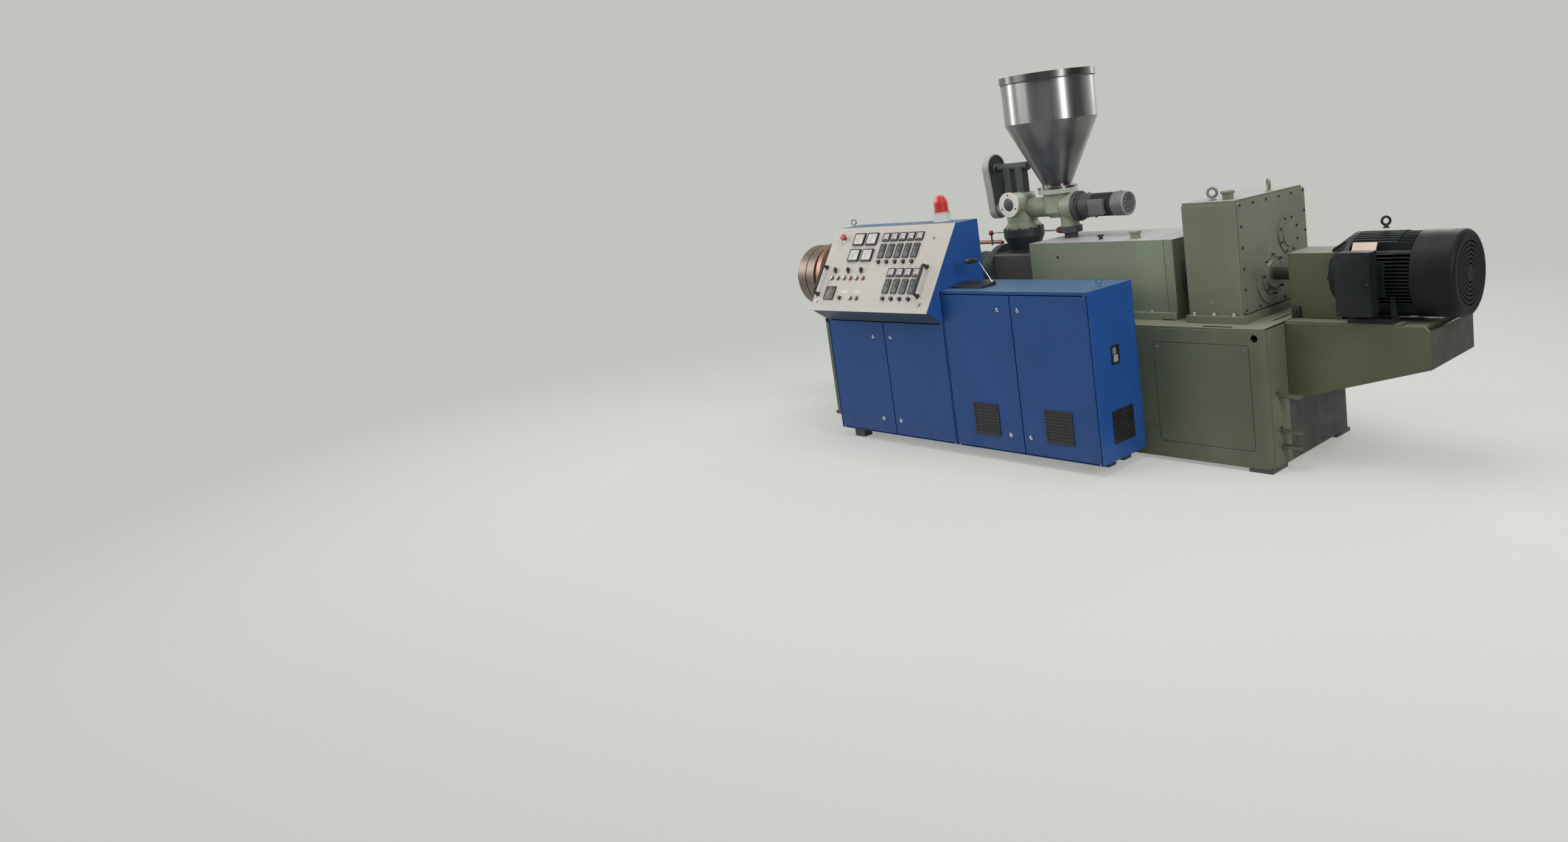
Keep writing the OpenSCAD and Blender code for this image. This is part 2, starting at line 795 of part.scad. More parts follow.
// Long distribution box with its ledge and end plate
module distribution_box() {
    y0 = axis_y - dist_w / 2;
    color(sage_light) place() difference() {
        union() {
            translate([dist_x0, y0, base_h]) cube([dist_len, dist_w, dist_h]);
            translate([dist_x0, y0 - foot_out, base_h]) cube([dist_len, dist_w + 2 * foot_out, foot_t]);
        }
        // seam of the end plate
        for (y = [y0 - eps, y0 + dist_w - 4])
            translate([dist_x1 - end_plate, y, base_h + foot_t]) cube([4, 4 + eps, dist_h]);
        translate([dist_x1 - end_plate, y0, dist_top - 4]) cube([4, dist_w, 4 + eps]);
        // oil level hole in the front
        translate([dist_x0 + 225, y0 - eps, dist_top - 95]) rotate([-90, 0, 0]) cylinder(h = 12, r = 11);
    }
}

// Round bell with two flanges between the gear housings
module shaft_bell() {
    color(graphite) place() turned() {
        translate([0, dist_x1]) square([bell_r, 24]);
        translate([0, dist_x1]) square([bell_r - 45, bell_len]);
        translate([0, gear_x0 - 24]) square([bell_r, 24]);
    }
}

// Feed block on its saddle, with the flared throat and its collar
module feed_block() {
    saddle_w = 200;
    top = axis_z + feed_up;
    low = axis_z - feed_down;
    flare = collar_z - collar_h - top;
    color(dark) place() difference() {
        union() {
            yz_plate(flange_x1, feed_len) translate([axis_y - feed_w / 2, low])
                round_rect([feed_w, feed_up + feed_down], 20);
            translate([flange_x1 + 80, axis_y - saddle_w / 2, base_h])
                cube([feed_len - 160, saddle_w, low - base_h + 20]);
            translate([throat_x, axis_y, 0]) rotate_extrude() polygon([
                [0, top - 10], [neck_r, top - 10], [neck_r, top + flare * 0.2],
                [collar_r, collar_z - collar_h], [collar_r, collar_z], [0, collar_z]
            ]);
        }
        x_rod(throat_x - collar_r - 5, 2 * collar_r + 10, rod_r + run_fit, z = rod_z);
    }
}

rod_z = collar_z - collar_h / 2;

// Rod of the throat's slide gate with a ball at each end
module slide_gate_rod() {
    color(steel) place() {
        x_rod(throat_x - ball_dx, 2 * ball_dx, rod_r, z = rod_z);
        for (side_x = [-1, 1]) translate([throat_x + side_x * ball_dx, axis_y, rod_z]) sphere(ball_r);
    }
}

port_x = throat_x + 28;
port_z = feeder_z + 40;
port_y = axis_y - chute_r - 42;

// Cast feeder: drop chute, screw tube, hopper seat and foot in one piece
module feeder_casting() {
    color(sage_light) place() {
        translate([throat_x, axis_y, 0]) rotate_extrude() polygon([
            [0, collar_z], [chute_r + 18, collar_z], [chute_r + 18, collar_z + 20],
            [chute_r, collar_z + 42], [chute_r, chute_top - 26], [chute_r - 6, chute_top - 8],
            [chute_r - 16, chute_top], [0, chute_top]
        ]);
        x_rod(throat_x - belt_dx, feeder_x1 - throat_x + belt_dx, tube_r - 20, z = feeder_z);
        x_rod(throat_x, feeder_x1 - throat_x, tube_r, z = feeder_z);
        x_rod(hopper_x + seat_r * 0.6, feeder_x1 - hopper_x - seat_r * 0.6, tube_r + 24, z = feeder_z);
        translate([hopper_x, axis_y, 0]) rotate_extrude() polygon([
            [0, feeder_z - tube_r - 4], [seat_r * 0.7, feeder_z - tube_r - 4],
            [seat_r, feeder_z - tube_r + 30],
            [seat_r, seat_z - seat_flange_t], [seat_flange_r, seat_z - seat_flange_t],
            [seat_flange_r, seat_z], [0, seat_z]
        ]);
        translate([leg_x, axis_y, collar_z]) cylinder(h = feeder_z - collar_z, r = leg_r);
        translate([port_x, port_y, port_z]) rotate([-90, 0, 0]) cylinder(h = chute_r, r = port_r - 8);
    }
}

// Bolted ring and disc of the port on the drop chute
module feeder_port() {
    color(pale) place() translate([port_x, port_y, port_z]) rotate([90, 0, 0]) difference() {
        cylinder(h = port_t, r = port_r);
        translate([0, 0, port_t - 5]) cylinder(h = 5 + eps, r = port_hole_r);
    }
}

// Clamp and stem between the distribution box and the feeder's foot
module feeder_foot() {
    stem = collar_z - 40;
    color(dark) place() translate([leg_x, axis_y, 0]) {
        translate([0, 0, dist_top]) cylinder(h = stem - dist_top + eps, r = leg_r - 16);
        translate([0, 0, stem]) cylinder(h = collar_z - stem, r = leg_r + 15);
    }
}

// Gearmotor on the end of the feeder
module feeder_gearmotor() {
    neck = 72;
    cowl = 74;
    rib = 7;
    body = gm_len - neck - cowl;
    color(graphite) place() {
        turned(z = feeder_z) {
            translate([0, feeder_x1]) square([gm_flange_r, 30]);
            translate([0, feeder_x1]) square([gm_r, neck]);
            translate([0, feeder_x1 + neck]) square([gm_r - rib, body]);
            translate([0, feeder_x1 + neck + body]) square([gm_r + 2, cowl]);
        }
        translate([0, axis_y, feeder_z]) for (turn = [0 : 15 : 345]) rotate([turn, 0, 0])
            translate([feeder_x1 + neck - eps, -1.5, gm_r - rib - 4])
                cube([body + 2 * eps, 3, rib + 4]);
    }
}

// Tall guard over the belt between screw and agitator, with a sunk face
// inside its rim
module belt_guard() {
    rim = 9;
    sunk = 6;
    color(dark) place() translate([0, axis_y, feeder_z]) difference() {
        yz_plate(belt_x1 - belt_t, belt_t) belt_outline(belt_foot_r, belt_top_r, belt_rise);
        yz_plate(belt_x1 - sunk, sunk + eps) difference() {
            belt_outline(belt_foot_r - rim, belt_top_r - rim, belt_rise);
            circle(tube_r - 18);
            translate([0, belt_rise - agit_drop]) circle(agit_r + 2);
        }
    }
}

agit_drop = 10;

// Agitator shaft housing on its two posts
module agitator_drive() {
    shaft_z = feeder_z + belt_rise - agit_drop;
    color(dark) place() {
        x_rod(belt_x1, agit_len, agit_r, z = shaft_z);
        for (dx = [110, 218])
            translate([belt_x1 + dx - post_w / 2, axis_y - post_w / 2, chute_top])
                cube([post_w, post_w, shaft_z - chute_top]);
    }
}

// Open cylinder of the sheet hopper with the band round its rim
module hopper_cylinder() {
    color(steel) place() translate([hopper_x, axis_y, 0]) rotate_extrude() polygon([
        [hopper_r - hopper_t, cylinder_z], [hopper_r, cylinder_z], [hopper_r, rim_z - rim_h],
        [hopper_r + rim_t, rim_z - rim_h], [hopper_r + rim_t, rim_z], [hopper_r - hopper_t, rim_z]
    ]);
}

// Cone of the hopper with its outlet and foot flange
module hopper_cone() {
    inner = outlet_r - hopper_t;
    color(steel) place() translate([hopper_x, axis_y, 0]) rotate_extrude() polygon([
        [inner, seat_z], [seat_flange_r, seat_z], [seat_flange_r, seat_z + 16], [outlet_r, seat_z + 16],
        [outlet_r, cone_z], [hopper_r, cylinder_z], [hopper_r - hopper_t, cylinder_z], [inner, cone_z + 1]
    ]);
}

vent_x = barrel_x0 + barrel_len * 0.42;
vent_top = axis_z + barrel_r + 130;
line_r = 14;
boss_h = barrel_r - 15;
pipe_z = axis_z + barrel_r + 85;
pipe_y = axis_y + barrel_r - 20;
pipe_ends = [barrel_x0 + 53, feed_x - 95];

// Barrel with its rear flange, front flange and vent port
module barrel() {
    color(graphite) place() {
        turned() {
            translate([0, barrel_x0]) square([barrel_r, barrel_len]);
            translate([0, barrel_x0]) square([barrel_r + 40, 36]);
            translate([0, feed_x]) square([flange_r, flange_t]);
            translate([0, feed_x - 22]) square([flange_r - 55, 22]);
        }
        translate([vent_x, axis_y, axis_z]) {
            cylinder(h = vent_top - axis_z, r = 52);
            translate([0, 0, vent_top - axis_z - 26]) cylinder(h = 26, r = 74);
        }
        for (x = pipe_ends) translate([x, pipe_y, axis_z]) cylinder(h = boss_h, r = line_r + 2);
    }
}

heater_run = barrel_len - barrel_bare - 70;
heater_pitch = (heater_run - heater_len) / (heater_count - 1);

function heater_x(i) = barrel_x0 + 70 + i * heater_pitch;

// Cast heater shells, each in two halves clamped round the barrel
module barrel_heaters() {
    lug = 16;
    color(steel) place() for (i = [0 : heater_count - 1]) difference() {
        union() {
            x_rod(heater_x(i), heater_len, heater_r);
            for (side_y = [-1, 1])
                translate([heater_x(i), axis_y + side_y * heater_r - 18, axis_z - lug])
                    cube([heater_len, 36, 2 * lug]);
        }
        x_rod(heater_x(i) - eps, heater_len + 2 * eps, barrel_r);
        translate([vent_x, axis_y, axis_z]) cylinder(h = 2 * heater_r, r = 52 + 12);
        for (side_y = [-1, 1])
            translate([heater_x(i) - eps, axis_y + side_y * heater_r - 20, axis_z - 2])
                cube([heater_len + 2 * eps, 40, 4]);
    }
}

// Air ducts from the base up to the heater shells
module cooling_ducts() {
    color(graphite) place() for (i = [0 : heater_count - 1]) difference() {
        translate([heater_x(i) + heater_len / 2 - duct_w / 2, axis_y - duct_w / 2, base_h])
            cube([duct_w, duct_w, axis_z - base_h]);
        x_rod(heater_x(i) - 5, heater_len + 10, heater_r);
    }
}

// Cooling line along the barrel, turned down onto a boss at both ends
module cooling_pipe() {
    color(copper) place() {
        x_rod(pipe_ends[0], pipe_ends[1] - pipe_ends[0], line_r, pipe_y, pipe_z);
        for (x = pipe_ends) {
            translate([x, pipe_y, pipe_z]) sphere(line_r);
            translate([x, pipe_y, axis_z + boss_h]) cylinder(h = pipe_z - axis_z - boss_h, r = line_r);
        }
    }
}

// Tapered adapter that bolts the die to the barrel
module die_adapter() {
    color(graphite) place() turned() polygon([
        [0, die_x1], [die_r * 0.78, die_x1], [die_r * 0.78, die_x1 + 34], [barrel_r - 20, die_x1 + 60],
        [barrel_r - 20, barrel_x0 - 40], [barrel_r + 40, barrel_x0 - 36], [barrel_r + 40, barrel_x0],
        [0, barrel_x0]
    ]);
}

// Die body, stepped nozzle and the ring gap round its core
module die_body() {
    color(graphite) place() turned() difference() {
        polygon([
            [0, nozzle_x0], [nozzle_r, nozzle_x0], [nozzle_r, die_x0 - 10], [nozzle_r + 45, die_x0 - 10],
            [nozzle_r + 45, die_x0], [die_r, die_x0 + 24], [die_r, die_x1 - 50], [die_r + 55, die_x1 - 50],
            [die_r + 55, die_x1], [0, die_x1]
        ]);
        translate([pipe_r - lip_gap, nozzle_x0 - eps]) square([lip_gap, 60]);
    }
}

// Heater bands clamped round the die body and its nozzle
module die_heaters() {
    color(copper) place() turned() {
        for (x = [die_x0 + 40, die_x0 + 50 + band_w])
            translate([die_r, x]) square([band_t, band_w]);
        translate([nozzle_r, nozzle_x0 + 22]) square([band_t, nozzle_len - 50]);
    }
}

foot_w = 100;
foot_d = 70;
foot_in = 35;
foot_back = 165;
foot_places = [
    [90, foot_in], [desk_len - 180, foot_back], [desk_len + 80, foot_back],
    [cab_len - 90 - foot_w, foot_back]
];

// Sole plates under the cabinet, set back from its front but for the first
module cabinet_feet() {
    color(dark) place()
        for (foot = foot_places, y = [foot[1], cab_d - foot_d - foot_in])
            translate([foot[0], y, 0]) cube([foot_w, foot_d, cab_foot]);
}

// Floor sheet of the cabinet
module cabinet_floor() {
    color(blue) place() translate([0, 0, cab_foot]) cube([cab_len, cab_d - sheet, sheet]);
}

// Hinge pin with its thrust collar, standing on the origin
module hinge_pin() {
    cylinder(h = door_gap - seat_gap, r = pin_back);
    cylinder(h = door_gap + pin_len, r = pin_r);
}

// Fixed pins that the four doors turn on
module hinge_pins() {
    color(steel) place() for (i = [0 : 3]) {
        translate([pin_x(i), pin_back, cab_foot + sheet]) hinge_pin();
        translate([pin_x(i), pin_back, door_z1[i] + door_gap]) mirror([0, 0, 1]) hinge_pin();
    }
}

// Rear sheet, tall behind the desk and low beside it
module cabinet_back() {
    color(blue) place() xz_plate(cab_d - sheet, sheet) polygon([
        [0, cab_foot], [cab_len, cab_foot], [cab_len, low_h], [desk_len, low_h],
        [desk_len, desk_h], [0, desk_h]
    ]);
}

// Side view of the desk, from the floor sheet to the desk's top
module desk_outline() {
    polygon([
        [0, cab_foot + sheet], [cab_d - sheet, cab_foot + sheet], [cab_d - sheet, desk_h - sheet],
        [top_y, desk_h - sheet], [-lip_out, lip_z], [0, under_z + sheet]
    ]);
}

// End sheets of both parts and the wall between them
module cabinet_sides() {
    color(blue) place() {
        yz_plate(0, sheet) desk_outline();
        yz_plate(desk_len - sheet / 2, sheet) desk_outline();
        translate([cab_len - sheet, 0, cab_foot + sheet])
            cube([sheet, cab_d - sheet, low_h - cab_foot - 2 * sheet]);
    }
}

// Top sheets of the desk and of the low part, with its folded front rail
module cabinet_tops() {
    low_x0 = desk_len + sheet / 2;
    color(blue) place() {
        translate([0, top_y, desk_h - sheet]) cube([desk_len + sheet / 2, cab_d - sheet - top_y, sheet]);
        translate([low_x0, 0, low_h - sheet]) cube([cab_len - low_x0, cab_d - sheet, sheet]);
        translate([low_x0, 0, low_h - low_rail])
            cube([cab_len - sheet - low_x0, rail_d, low_rail - sheet + eps]);
    }
}

// Sloped underside of the desk with the header over its doors
module desk_underside() {
    header = 40;
    color(blue) place() yz_plate(sheet, desk_len - sheet * 1.5) polygon([
        [header, under_z], [0, under_z], [-lip_out, lip_z], [-lip_out + 1.5, lip_z + 2.2],
        [1, under_z + sheet], [header, under_z + sheet]
    ]);
}

// Upright posts behind the seams between the doors
module cabinet_posts() {
    post_d = 26;
    post_y = door_t + 12;
    post_z = cab_foot + sheet;
    color(blue) place() {
        translate([door_x[1] - (door_gap + post) / 2, post_y, post_z])
            cube([post, post_d, under_z - post_z]);
        translate([door_x[3] - (door_gap + post) / 2, post_y, post_z])
            cube([post, post_d, low_h - sheet - post_z]);
    }
}

// Plates for the switchgear at the back of both compartments
module mounting_plates() {
    standoff = 30;
    plate = 3;
    margin = 60;
    y0 = cab_d - sheet - standoff;
    spans = [[sheet, desk_len - sheet / 2], [desk_len + sheet / 2, cab_len - sheet]];
    color(steel) place() for (span = spans) {
        translate([span[0] + margin, y0 - plate, cab_foot + 90])
            cube([span[1] - span[0] - 2 * margin, plate, low_h - cab_foot - 200]);
        for (x = [span[0] + margin + 40, span[1] - margin - 60], z = [cab_foot + 140, low_h - 180])
            translate([x, y0 - eps, z]) cube([20, standoff + eps, 20]);
    }
}

// Moves into the panel's plane: X along it, Y up the slope, Z out of it
module on_panel(x = 0, s = 0) {
    translate([0, -lip_out, lip_z]) rotate([slope, 0, 0]) translate([x, s, 0]) children();
}

// Sloped instrument panel with a lip past the desk's edges
module desk_panel() {
    color(pale) place() on_panel(-panel_lip, -panel_lip)
        cube([desk_len + sheet / 2 + 2 * panel_lip, slant + panel_lip, panel_t]);
}

// Places of the instruments along the panel
zone_x = [for (i = [0 : 4]) ctl_first + ctl_pitch * i];
low_zone_x = [for (i = [2 : 5]) ctl_first + ctl_pitch * i];
volt_x = [287, 421];
lever_x = [143, 280, 417];
push_x = [for (i = [0 : 5]) 126 + 65.8 * i];
lamp_x = [392, 457];
turn_x = 279;
lock_x = 1078;

// Rows of the instruments up the panel
volt_s = [405, 525];
amp_s = 535;
ctl_s = 433;
knob_s = 353;
low_amp_s = 274;
low_ctl_s = 176;
low_knob_s = 88;
lever_s = 284;
push_s = 236;
grab_s = 225;
display_x = 158;
display_s = 123;
display_w = 98;
stop_x = 126;
stop_s = 537;
lock_s = 55;

// Framed instrument, centred on its place
module bezel(x, s, w, h, t) {
    on_panel(x, s) translate([-w / 2, -h / 2, panel_t]) difference() {
        cube([w, h, t]);
        translate([4, 4, t - 2]) cube([w - 8, h - 8, 2 + eps]);
    }
}

// Meters, temperature controllers and the display
module panel_meters() {
    color(dark) place() {
        for (x = volt_x, s = volt_s) bezel(x, s, meter_w, meter_h, 14);
        for (x = zone_x) {
            bezel(x, amp_s, small_meter, small_meter - 8, 10);
            bezel(x, ctl_s, ctl_w, ctl_h, 9);
        }
        for (x = low_zone_x) {
            bezel(x, low_amp_s, small_meter, small_meter - 8, 10);
            bezel(x, low_ctl_s, ctl_w, ctl_h, 9);
        }
        bezel(display_x, display_s, display_w, display_w, 10);
    }
}

// Round control on the panel
module knob(x, s, r, h) {
    on_panel(x, s) translate([0, 0, panel_t]) {
        cylinder(h = 4, r = r);
        cylinder(h = h, r = r * 0.78);
    }
}

// Knobs, buttons, lever switches and the stop button
module panel_knobs() {
    color(dark) place() {
        for (x = zone_x) knob(x, knob_s, knob_r, 18);
        for (x = low_zone_x) knob(x, low_knob_s, knob_r, 18);
        for (x = push_x) knob(x, push_s, button_r, 10);
        for (x = lamp_x) knob(x, low_knob_s, button_r, 10);
        knob(turn_x, low_knob_s, knob_r, 18);
        knob(lock_x, lock_s, button_r, 10);
        for (x = lever_x) {
            knob(x, lever_s, button_r, 14);
            on_panel(x, lever_s) translate([-4, -2, panel_t]) cube([8, 26, 26]);
        }
        on_panel(stop_x, stop_s) translate([0, 0, panel_t]) {
            cylinder(h = 22, r = 11);
            translate([0, 0, 20]) cylinder(h = 12, r = 23);
        }
    }
}

// U-shaped grab handles at both edges of the panel
module grab_handles() {
    color(dark) place() for (x = [grab_left, desk_len - grab_right]) on_panel(x, grab_s) {
        for (s = [-grab_len / 2, grab_len / 2])
            translate([0, s, panel_t]) cylinder(h = grab_out, r = grab_r);
        translate([0, -grab_len / 2 - grab_r, grab_out + panel_t]) rotate([-90, 0, 0])
            cylinder(h = grab_len + 2 * grab_r, r = grab_r);
    }
}

// Hand lever on its sloping plate on top of the low part
module hand_lever() {
    plate_x = desk_len + lever_out;
    plate_y = 160;
    plate_back = 26;
    plate_front = 10;
    lean = -42;
    color(dark) place() translate([plate_x, plate_y, low_h]) {
        yz_plate(-lever_plate / 2, lever_plate) polygon([
            [-lever_deep / 2, 0], [lever_deep / 2, 0],
            [lever_deep / 2, plate_back], [-lever_deep / 2, plate_front]
        ]);
        translate([90, 10, 10]) rotate([0, lean, 0]) {
            cylinder(h = 180, r = 4);
            translate([0, 0, 178]) cylinder(h = 70, r = 16);
        }
    }
}

// Warning beacon on the desk's top
module beacon() {
    base_part = 60;
    dome = 112;
    beacon_r = 54;
    color(red) place() translate([beacon_x, top_y + beacon_in, desk_h]) {
        cylinder(h = base_part, r = beacon_r);
        translate([0, 0, base_part]) rotate_extrude() polygon([
            [0, 0], [beacon_r - 6, 0], [beacon_r - 8, dome * 0.62], [beacon_r * 0.6, dome * 0.92],
            [beacon_r * 0.25, dome], [0, dome]
        ]);
    }
}

// Louvred vent drawn in X and Z, standing out towards -Y from y = 0
module louvre_vent(w, h) {
    rim = 10;
    slat = 9;
    rows = floor((h - 2 * rim) / 20);
    step = (h - 2 * rim) / rows;
    difference() {
        translate([0, -vent_t, 0]) cube([w, vent_t, h]);
        for (i = [0 : rows - 1])
            translate([rim, -vent_t - eps, rim + i * step + step - slat])
                cube([w - 2 * rim, vent_t - 2, slat]);
    }
}

// Vent and latch cup on the end of the low part
module side_vent() {
    color(dark) place() translate([cab_len, 0, 0]) rotate([0, 0, 90]) {
        translate([end_vent_y, 0, end_vent_z]) louvre_vent(end_vent_w, end_vent_h);
        translate([latch_y, -8, latch_z]) difference() {
            cube([latch_w, 8, latch_h]);
            translate([10, -eps, 10]) cube([latch_w - 20, 6, latch_h - 20]);
        }
    }
}

// Plan of a door hinged at x = 0, with its heel rounded so that it clears
// the side sheet as it turns
module door_plan(w) {
    translate([fold_r, 0]) square([w - 2 * fold_r, fold_r]);
    translate([0, fold_r]) square([w, door_t - heel_r - fold_r]);
    translate([heel_r, door_t - heel_r]) square([w - heel_r, heel_r]);
    for (x = [fold_r, w - fold_r]) translate([x, fold_r]) circle(fold_r);
    translate([heel_r, door_t - heel_r]) circle(heel_r);
}

// Folded door with its rim, hollow back and hinge bores
module door(i) {
    x = door_x[i];
    w = door_w[i];
    h = door_z1[i] - door_z0;
    color(blue) place() difference() {
        translate([door_right[i] ? x + w : x, 0, door_z0]) mirror([door_right[i] ? 1 : 0, 0, 0])
            linear_extrude(h) door_plan(w);
        translate([x + door_rim, skin, door_z0 + door_rim])
            cube([w - 2 * door_rim, door_t, h - 2 * door_rim]);
        translate([pin_x(i), pin_back, door_z0 - eps]) cylinder(h = pin_len + 2, r = pin_r + run_fit);
        translate([pin_x(i), pin_back, door_z1[i] - pin_len - 2])
            cylinder(h = pin_len + 2 + eps, r = pin_r + run_fit);
    }
}

module door_1() { door(0); }
module door_2() { door(1); }
module door_3() { door(2); }
module door_4() { door(3); }

vent_low = door_z0 + vent_up;

// Louvred vents low on the doors of the low part
module door_vent(i) {
    color(dark) place() translate([door_x[i] + (door_w[i] - vent_w) / 2, 0, vent_low])
        louvre_vent(vent_w, vent_h);
}

module door_3_vent() { door_vent(2); }
module door_4_vent() { door_vent(3); }

base_frame();
base_pads();
base_covers();
motor_bracket();
motor_housing();
fan_cowl();
cable_box();
coupling();
coupling_guard();
gearbox_housing();
gearbox_end_cover();
oil_fittings();
distribution_box();
shaft_bell();
feed_block();
slide_gate_rod();
feeder_casting();
feeder_port();
feeder_foot();
feeder_gearmotor();
belt_guard();
agitator_drive();
hopper_cylinder();
hopper_cone();
barrel();
barrel_heaters();
cooling_ducts();
cooling_pipe();
die_adapter();
die_body();
die_heaters();
cabinet_feet();
cabinet_floor();
cabinet_back();
cabinet_sides();
cabinet_tops();
desk_underside();
cabinet_posts();
mounting_plates();
hinge_pins();
desk_panel();
panel_meters();
panel_knobs();
grab_handles();
hand_lever();
beacon();
side_vent();
door_1();
door_2();
door_3();
door_4();
door_3_vent();
door_4_vent();
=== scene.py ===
from math import atan2, cos, hypot, pi, radians, sin, sqrt

import bmesh
import bpy
from mathutils import Matrix, Vector


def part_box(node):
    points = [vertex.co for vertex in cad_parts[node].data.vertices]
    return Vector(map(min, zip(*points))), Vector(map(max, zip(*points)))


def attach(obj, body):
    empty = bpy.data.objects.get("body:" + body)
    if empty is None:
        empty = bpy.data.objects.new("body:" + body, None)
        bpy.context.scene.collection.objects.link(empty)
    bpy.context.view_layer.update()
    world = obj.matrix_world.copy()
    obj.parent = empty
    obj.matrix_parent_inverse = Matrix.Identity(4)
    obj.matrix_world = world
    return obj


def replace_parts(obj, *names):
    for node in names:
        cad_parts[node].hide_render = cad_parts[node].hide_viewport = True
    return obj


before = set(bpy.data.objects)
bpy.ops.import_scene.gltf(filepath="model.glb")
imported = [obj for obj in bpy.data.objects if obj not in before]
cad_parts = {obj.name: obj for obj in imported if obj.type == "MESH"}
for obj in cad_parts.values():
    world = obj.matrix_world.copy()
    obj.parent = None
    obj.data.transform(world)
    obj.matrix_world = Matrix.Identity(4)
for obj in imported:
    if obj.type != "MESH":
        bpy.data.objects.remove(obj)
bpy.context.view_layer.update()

# Machine millimetres: x from the cabinet's die end, y from its doors, z from the floor
MM = 1000
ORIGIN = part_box("cabinet_floor")[0]


def at(x, y, z):
    """A point of the machine in the frame."""
    return Vector((ORIGIN.x + x / MM, ORIGIN.y + y / MM, z / MM))


def mm(v):
    """A point of the frame in machine millimetres."""
    return ((v.x - ORIGIN.x) * MM, (v.y - ORIGIN.y) * MM, v.z * MM)


def mm_box(node):
    """Lowest and highest corner of a CAD node in machine millimetres."""
    return [mm(v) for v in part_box(node)]


# Materials, by name
M = {}


def join(source, socket):
    socket.id_data.links.new(source, socket)


def put(made, values):
    for key, value in values.items():
        made.inputs[key].default_value = value


def blank(name):
    """Adds a material that is a Principled shader alone."""
    M[name] = bpy.data.materials.new(name)
    M[name].use_nodes = True
    tree = M[name].node_tree
    tree.nodes.clear()
    bsdf = tree.nodes.new("ShaderNodeBsdfPrincipled")
    join(bsdf.outputs[0], tree.nodes.new("ShaderNodeOutputMaterial").inputs[0])
    return tree, bsdf


def stretched(tree, coord, scale):
    made = tree.nodes.new("ShaderNodeMapping")
    put(made, {"Scale": scale})
    join(coord, made.inputs["Vector"])
    return made.outputs[0]


def noise(tree, coord, scale, detail=3.0, rough=0.55, stretch=None):
    made = tree.nodes.new("ShaderNodeTexNoise")
    put(made, {"Scale": scale, "Detail": detail, "Roughness": rough})
    join(stretched(tree, coord, stretch) if stretch else coord, made.inputs["Vector"])
    return made.outputs[0]


def remap(tree, value, low, high, out_low=0.0, out_high=1.0):
    made = tree.nodes.new("ShaderNodeMapRange")
    put(made, {"From Min": low, "From Max": high, "To Min": out_low, "To Max": out_high})
    join(value, made.inputs["Value"])
    return made.outputs[0]


def blend(tree, factor, first, second):
    """Mixes two colours, each a value or a socket."""
    made = tree.nodes.new("ShaderNodeMix")
    made.data_type = "RGBA"
    join(factor, made.inputs[0])
    for socket, value in ((made.inputs[6], first), (made.inputs[7], second)):
        if isinstance(value, tuple):
            socket.default_value = (*value, 1.0)
        else:
            join(value, socket)
    return made.outputs[2]


def sums(tree, how, *terms):
    """Arithmetic on two terms, each a number or a socket."""
    made = tree.nodes.new("ShaderNodeMath")
    made.operation = how
    for socket, value in zip(made.inputs, terms):
        if isinstance(value, float):
            socket.default_value = value
        else:
            join(value, socket)
    return made.outputs[0]


def object_coord(tree):
    return tree.nodes.new("ShaderNodeTexCoord").outputs["Object"]


def split(tree, coord):
    made = tree.nodes.new("ShaderNodeSeparateXYZ")
    join(coord, made.inputs[0])
    return made.outputs


def rounded_normal(tree, radius):
    made = tree.nodes.new("ShaderNodeBevel")
    made.samples = 4
    put(made, {"Radius": radius})
    return made.outputs[0]


def edge_mask(tree, rounded):
    """1 on edges and 0 on flats."""
    dot = tree.nodes.new("ShaderNodeVectorMath")
    dot.operation = "DOT_PRODUCT"
    join(rounded, dot.inputs[0])
    join(tree.nodes.new("ShaderNodeNewGeometry").outputs["True Normal"], dot.inputs[1])
    return remap(tree, dot.outputs["Value"], 0.995, 0.80)


def relief(tree, height, strength, distance, normal=None):
    made = tree.nodes.new("ShaderNodeBump")
    put(made, {"Strength": strength, "Distance": distance})
    join(height, made.inputs["Height"])
    if normal is not None:
        join(normal, made.inputs["Normal"])
    return made.outputs[0]


def tinted(colour, factor, lift=0.0):
    """A colour made lighter or darker."""
    return tuple(min(1.0, c * factor + lift) for c in colour)


# Dust on what stands near the floor, up to a height in metres
DUST, DUST_TOP = (0.16, 0.15, 0.13), 0.32
HEAT_TINT = (0.17, 0.125, 0.10)
# Near black painted into holes: painted shade seen through them
HOLE_SHADE = (0.004, 0.004, 0.004)


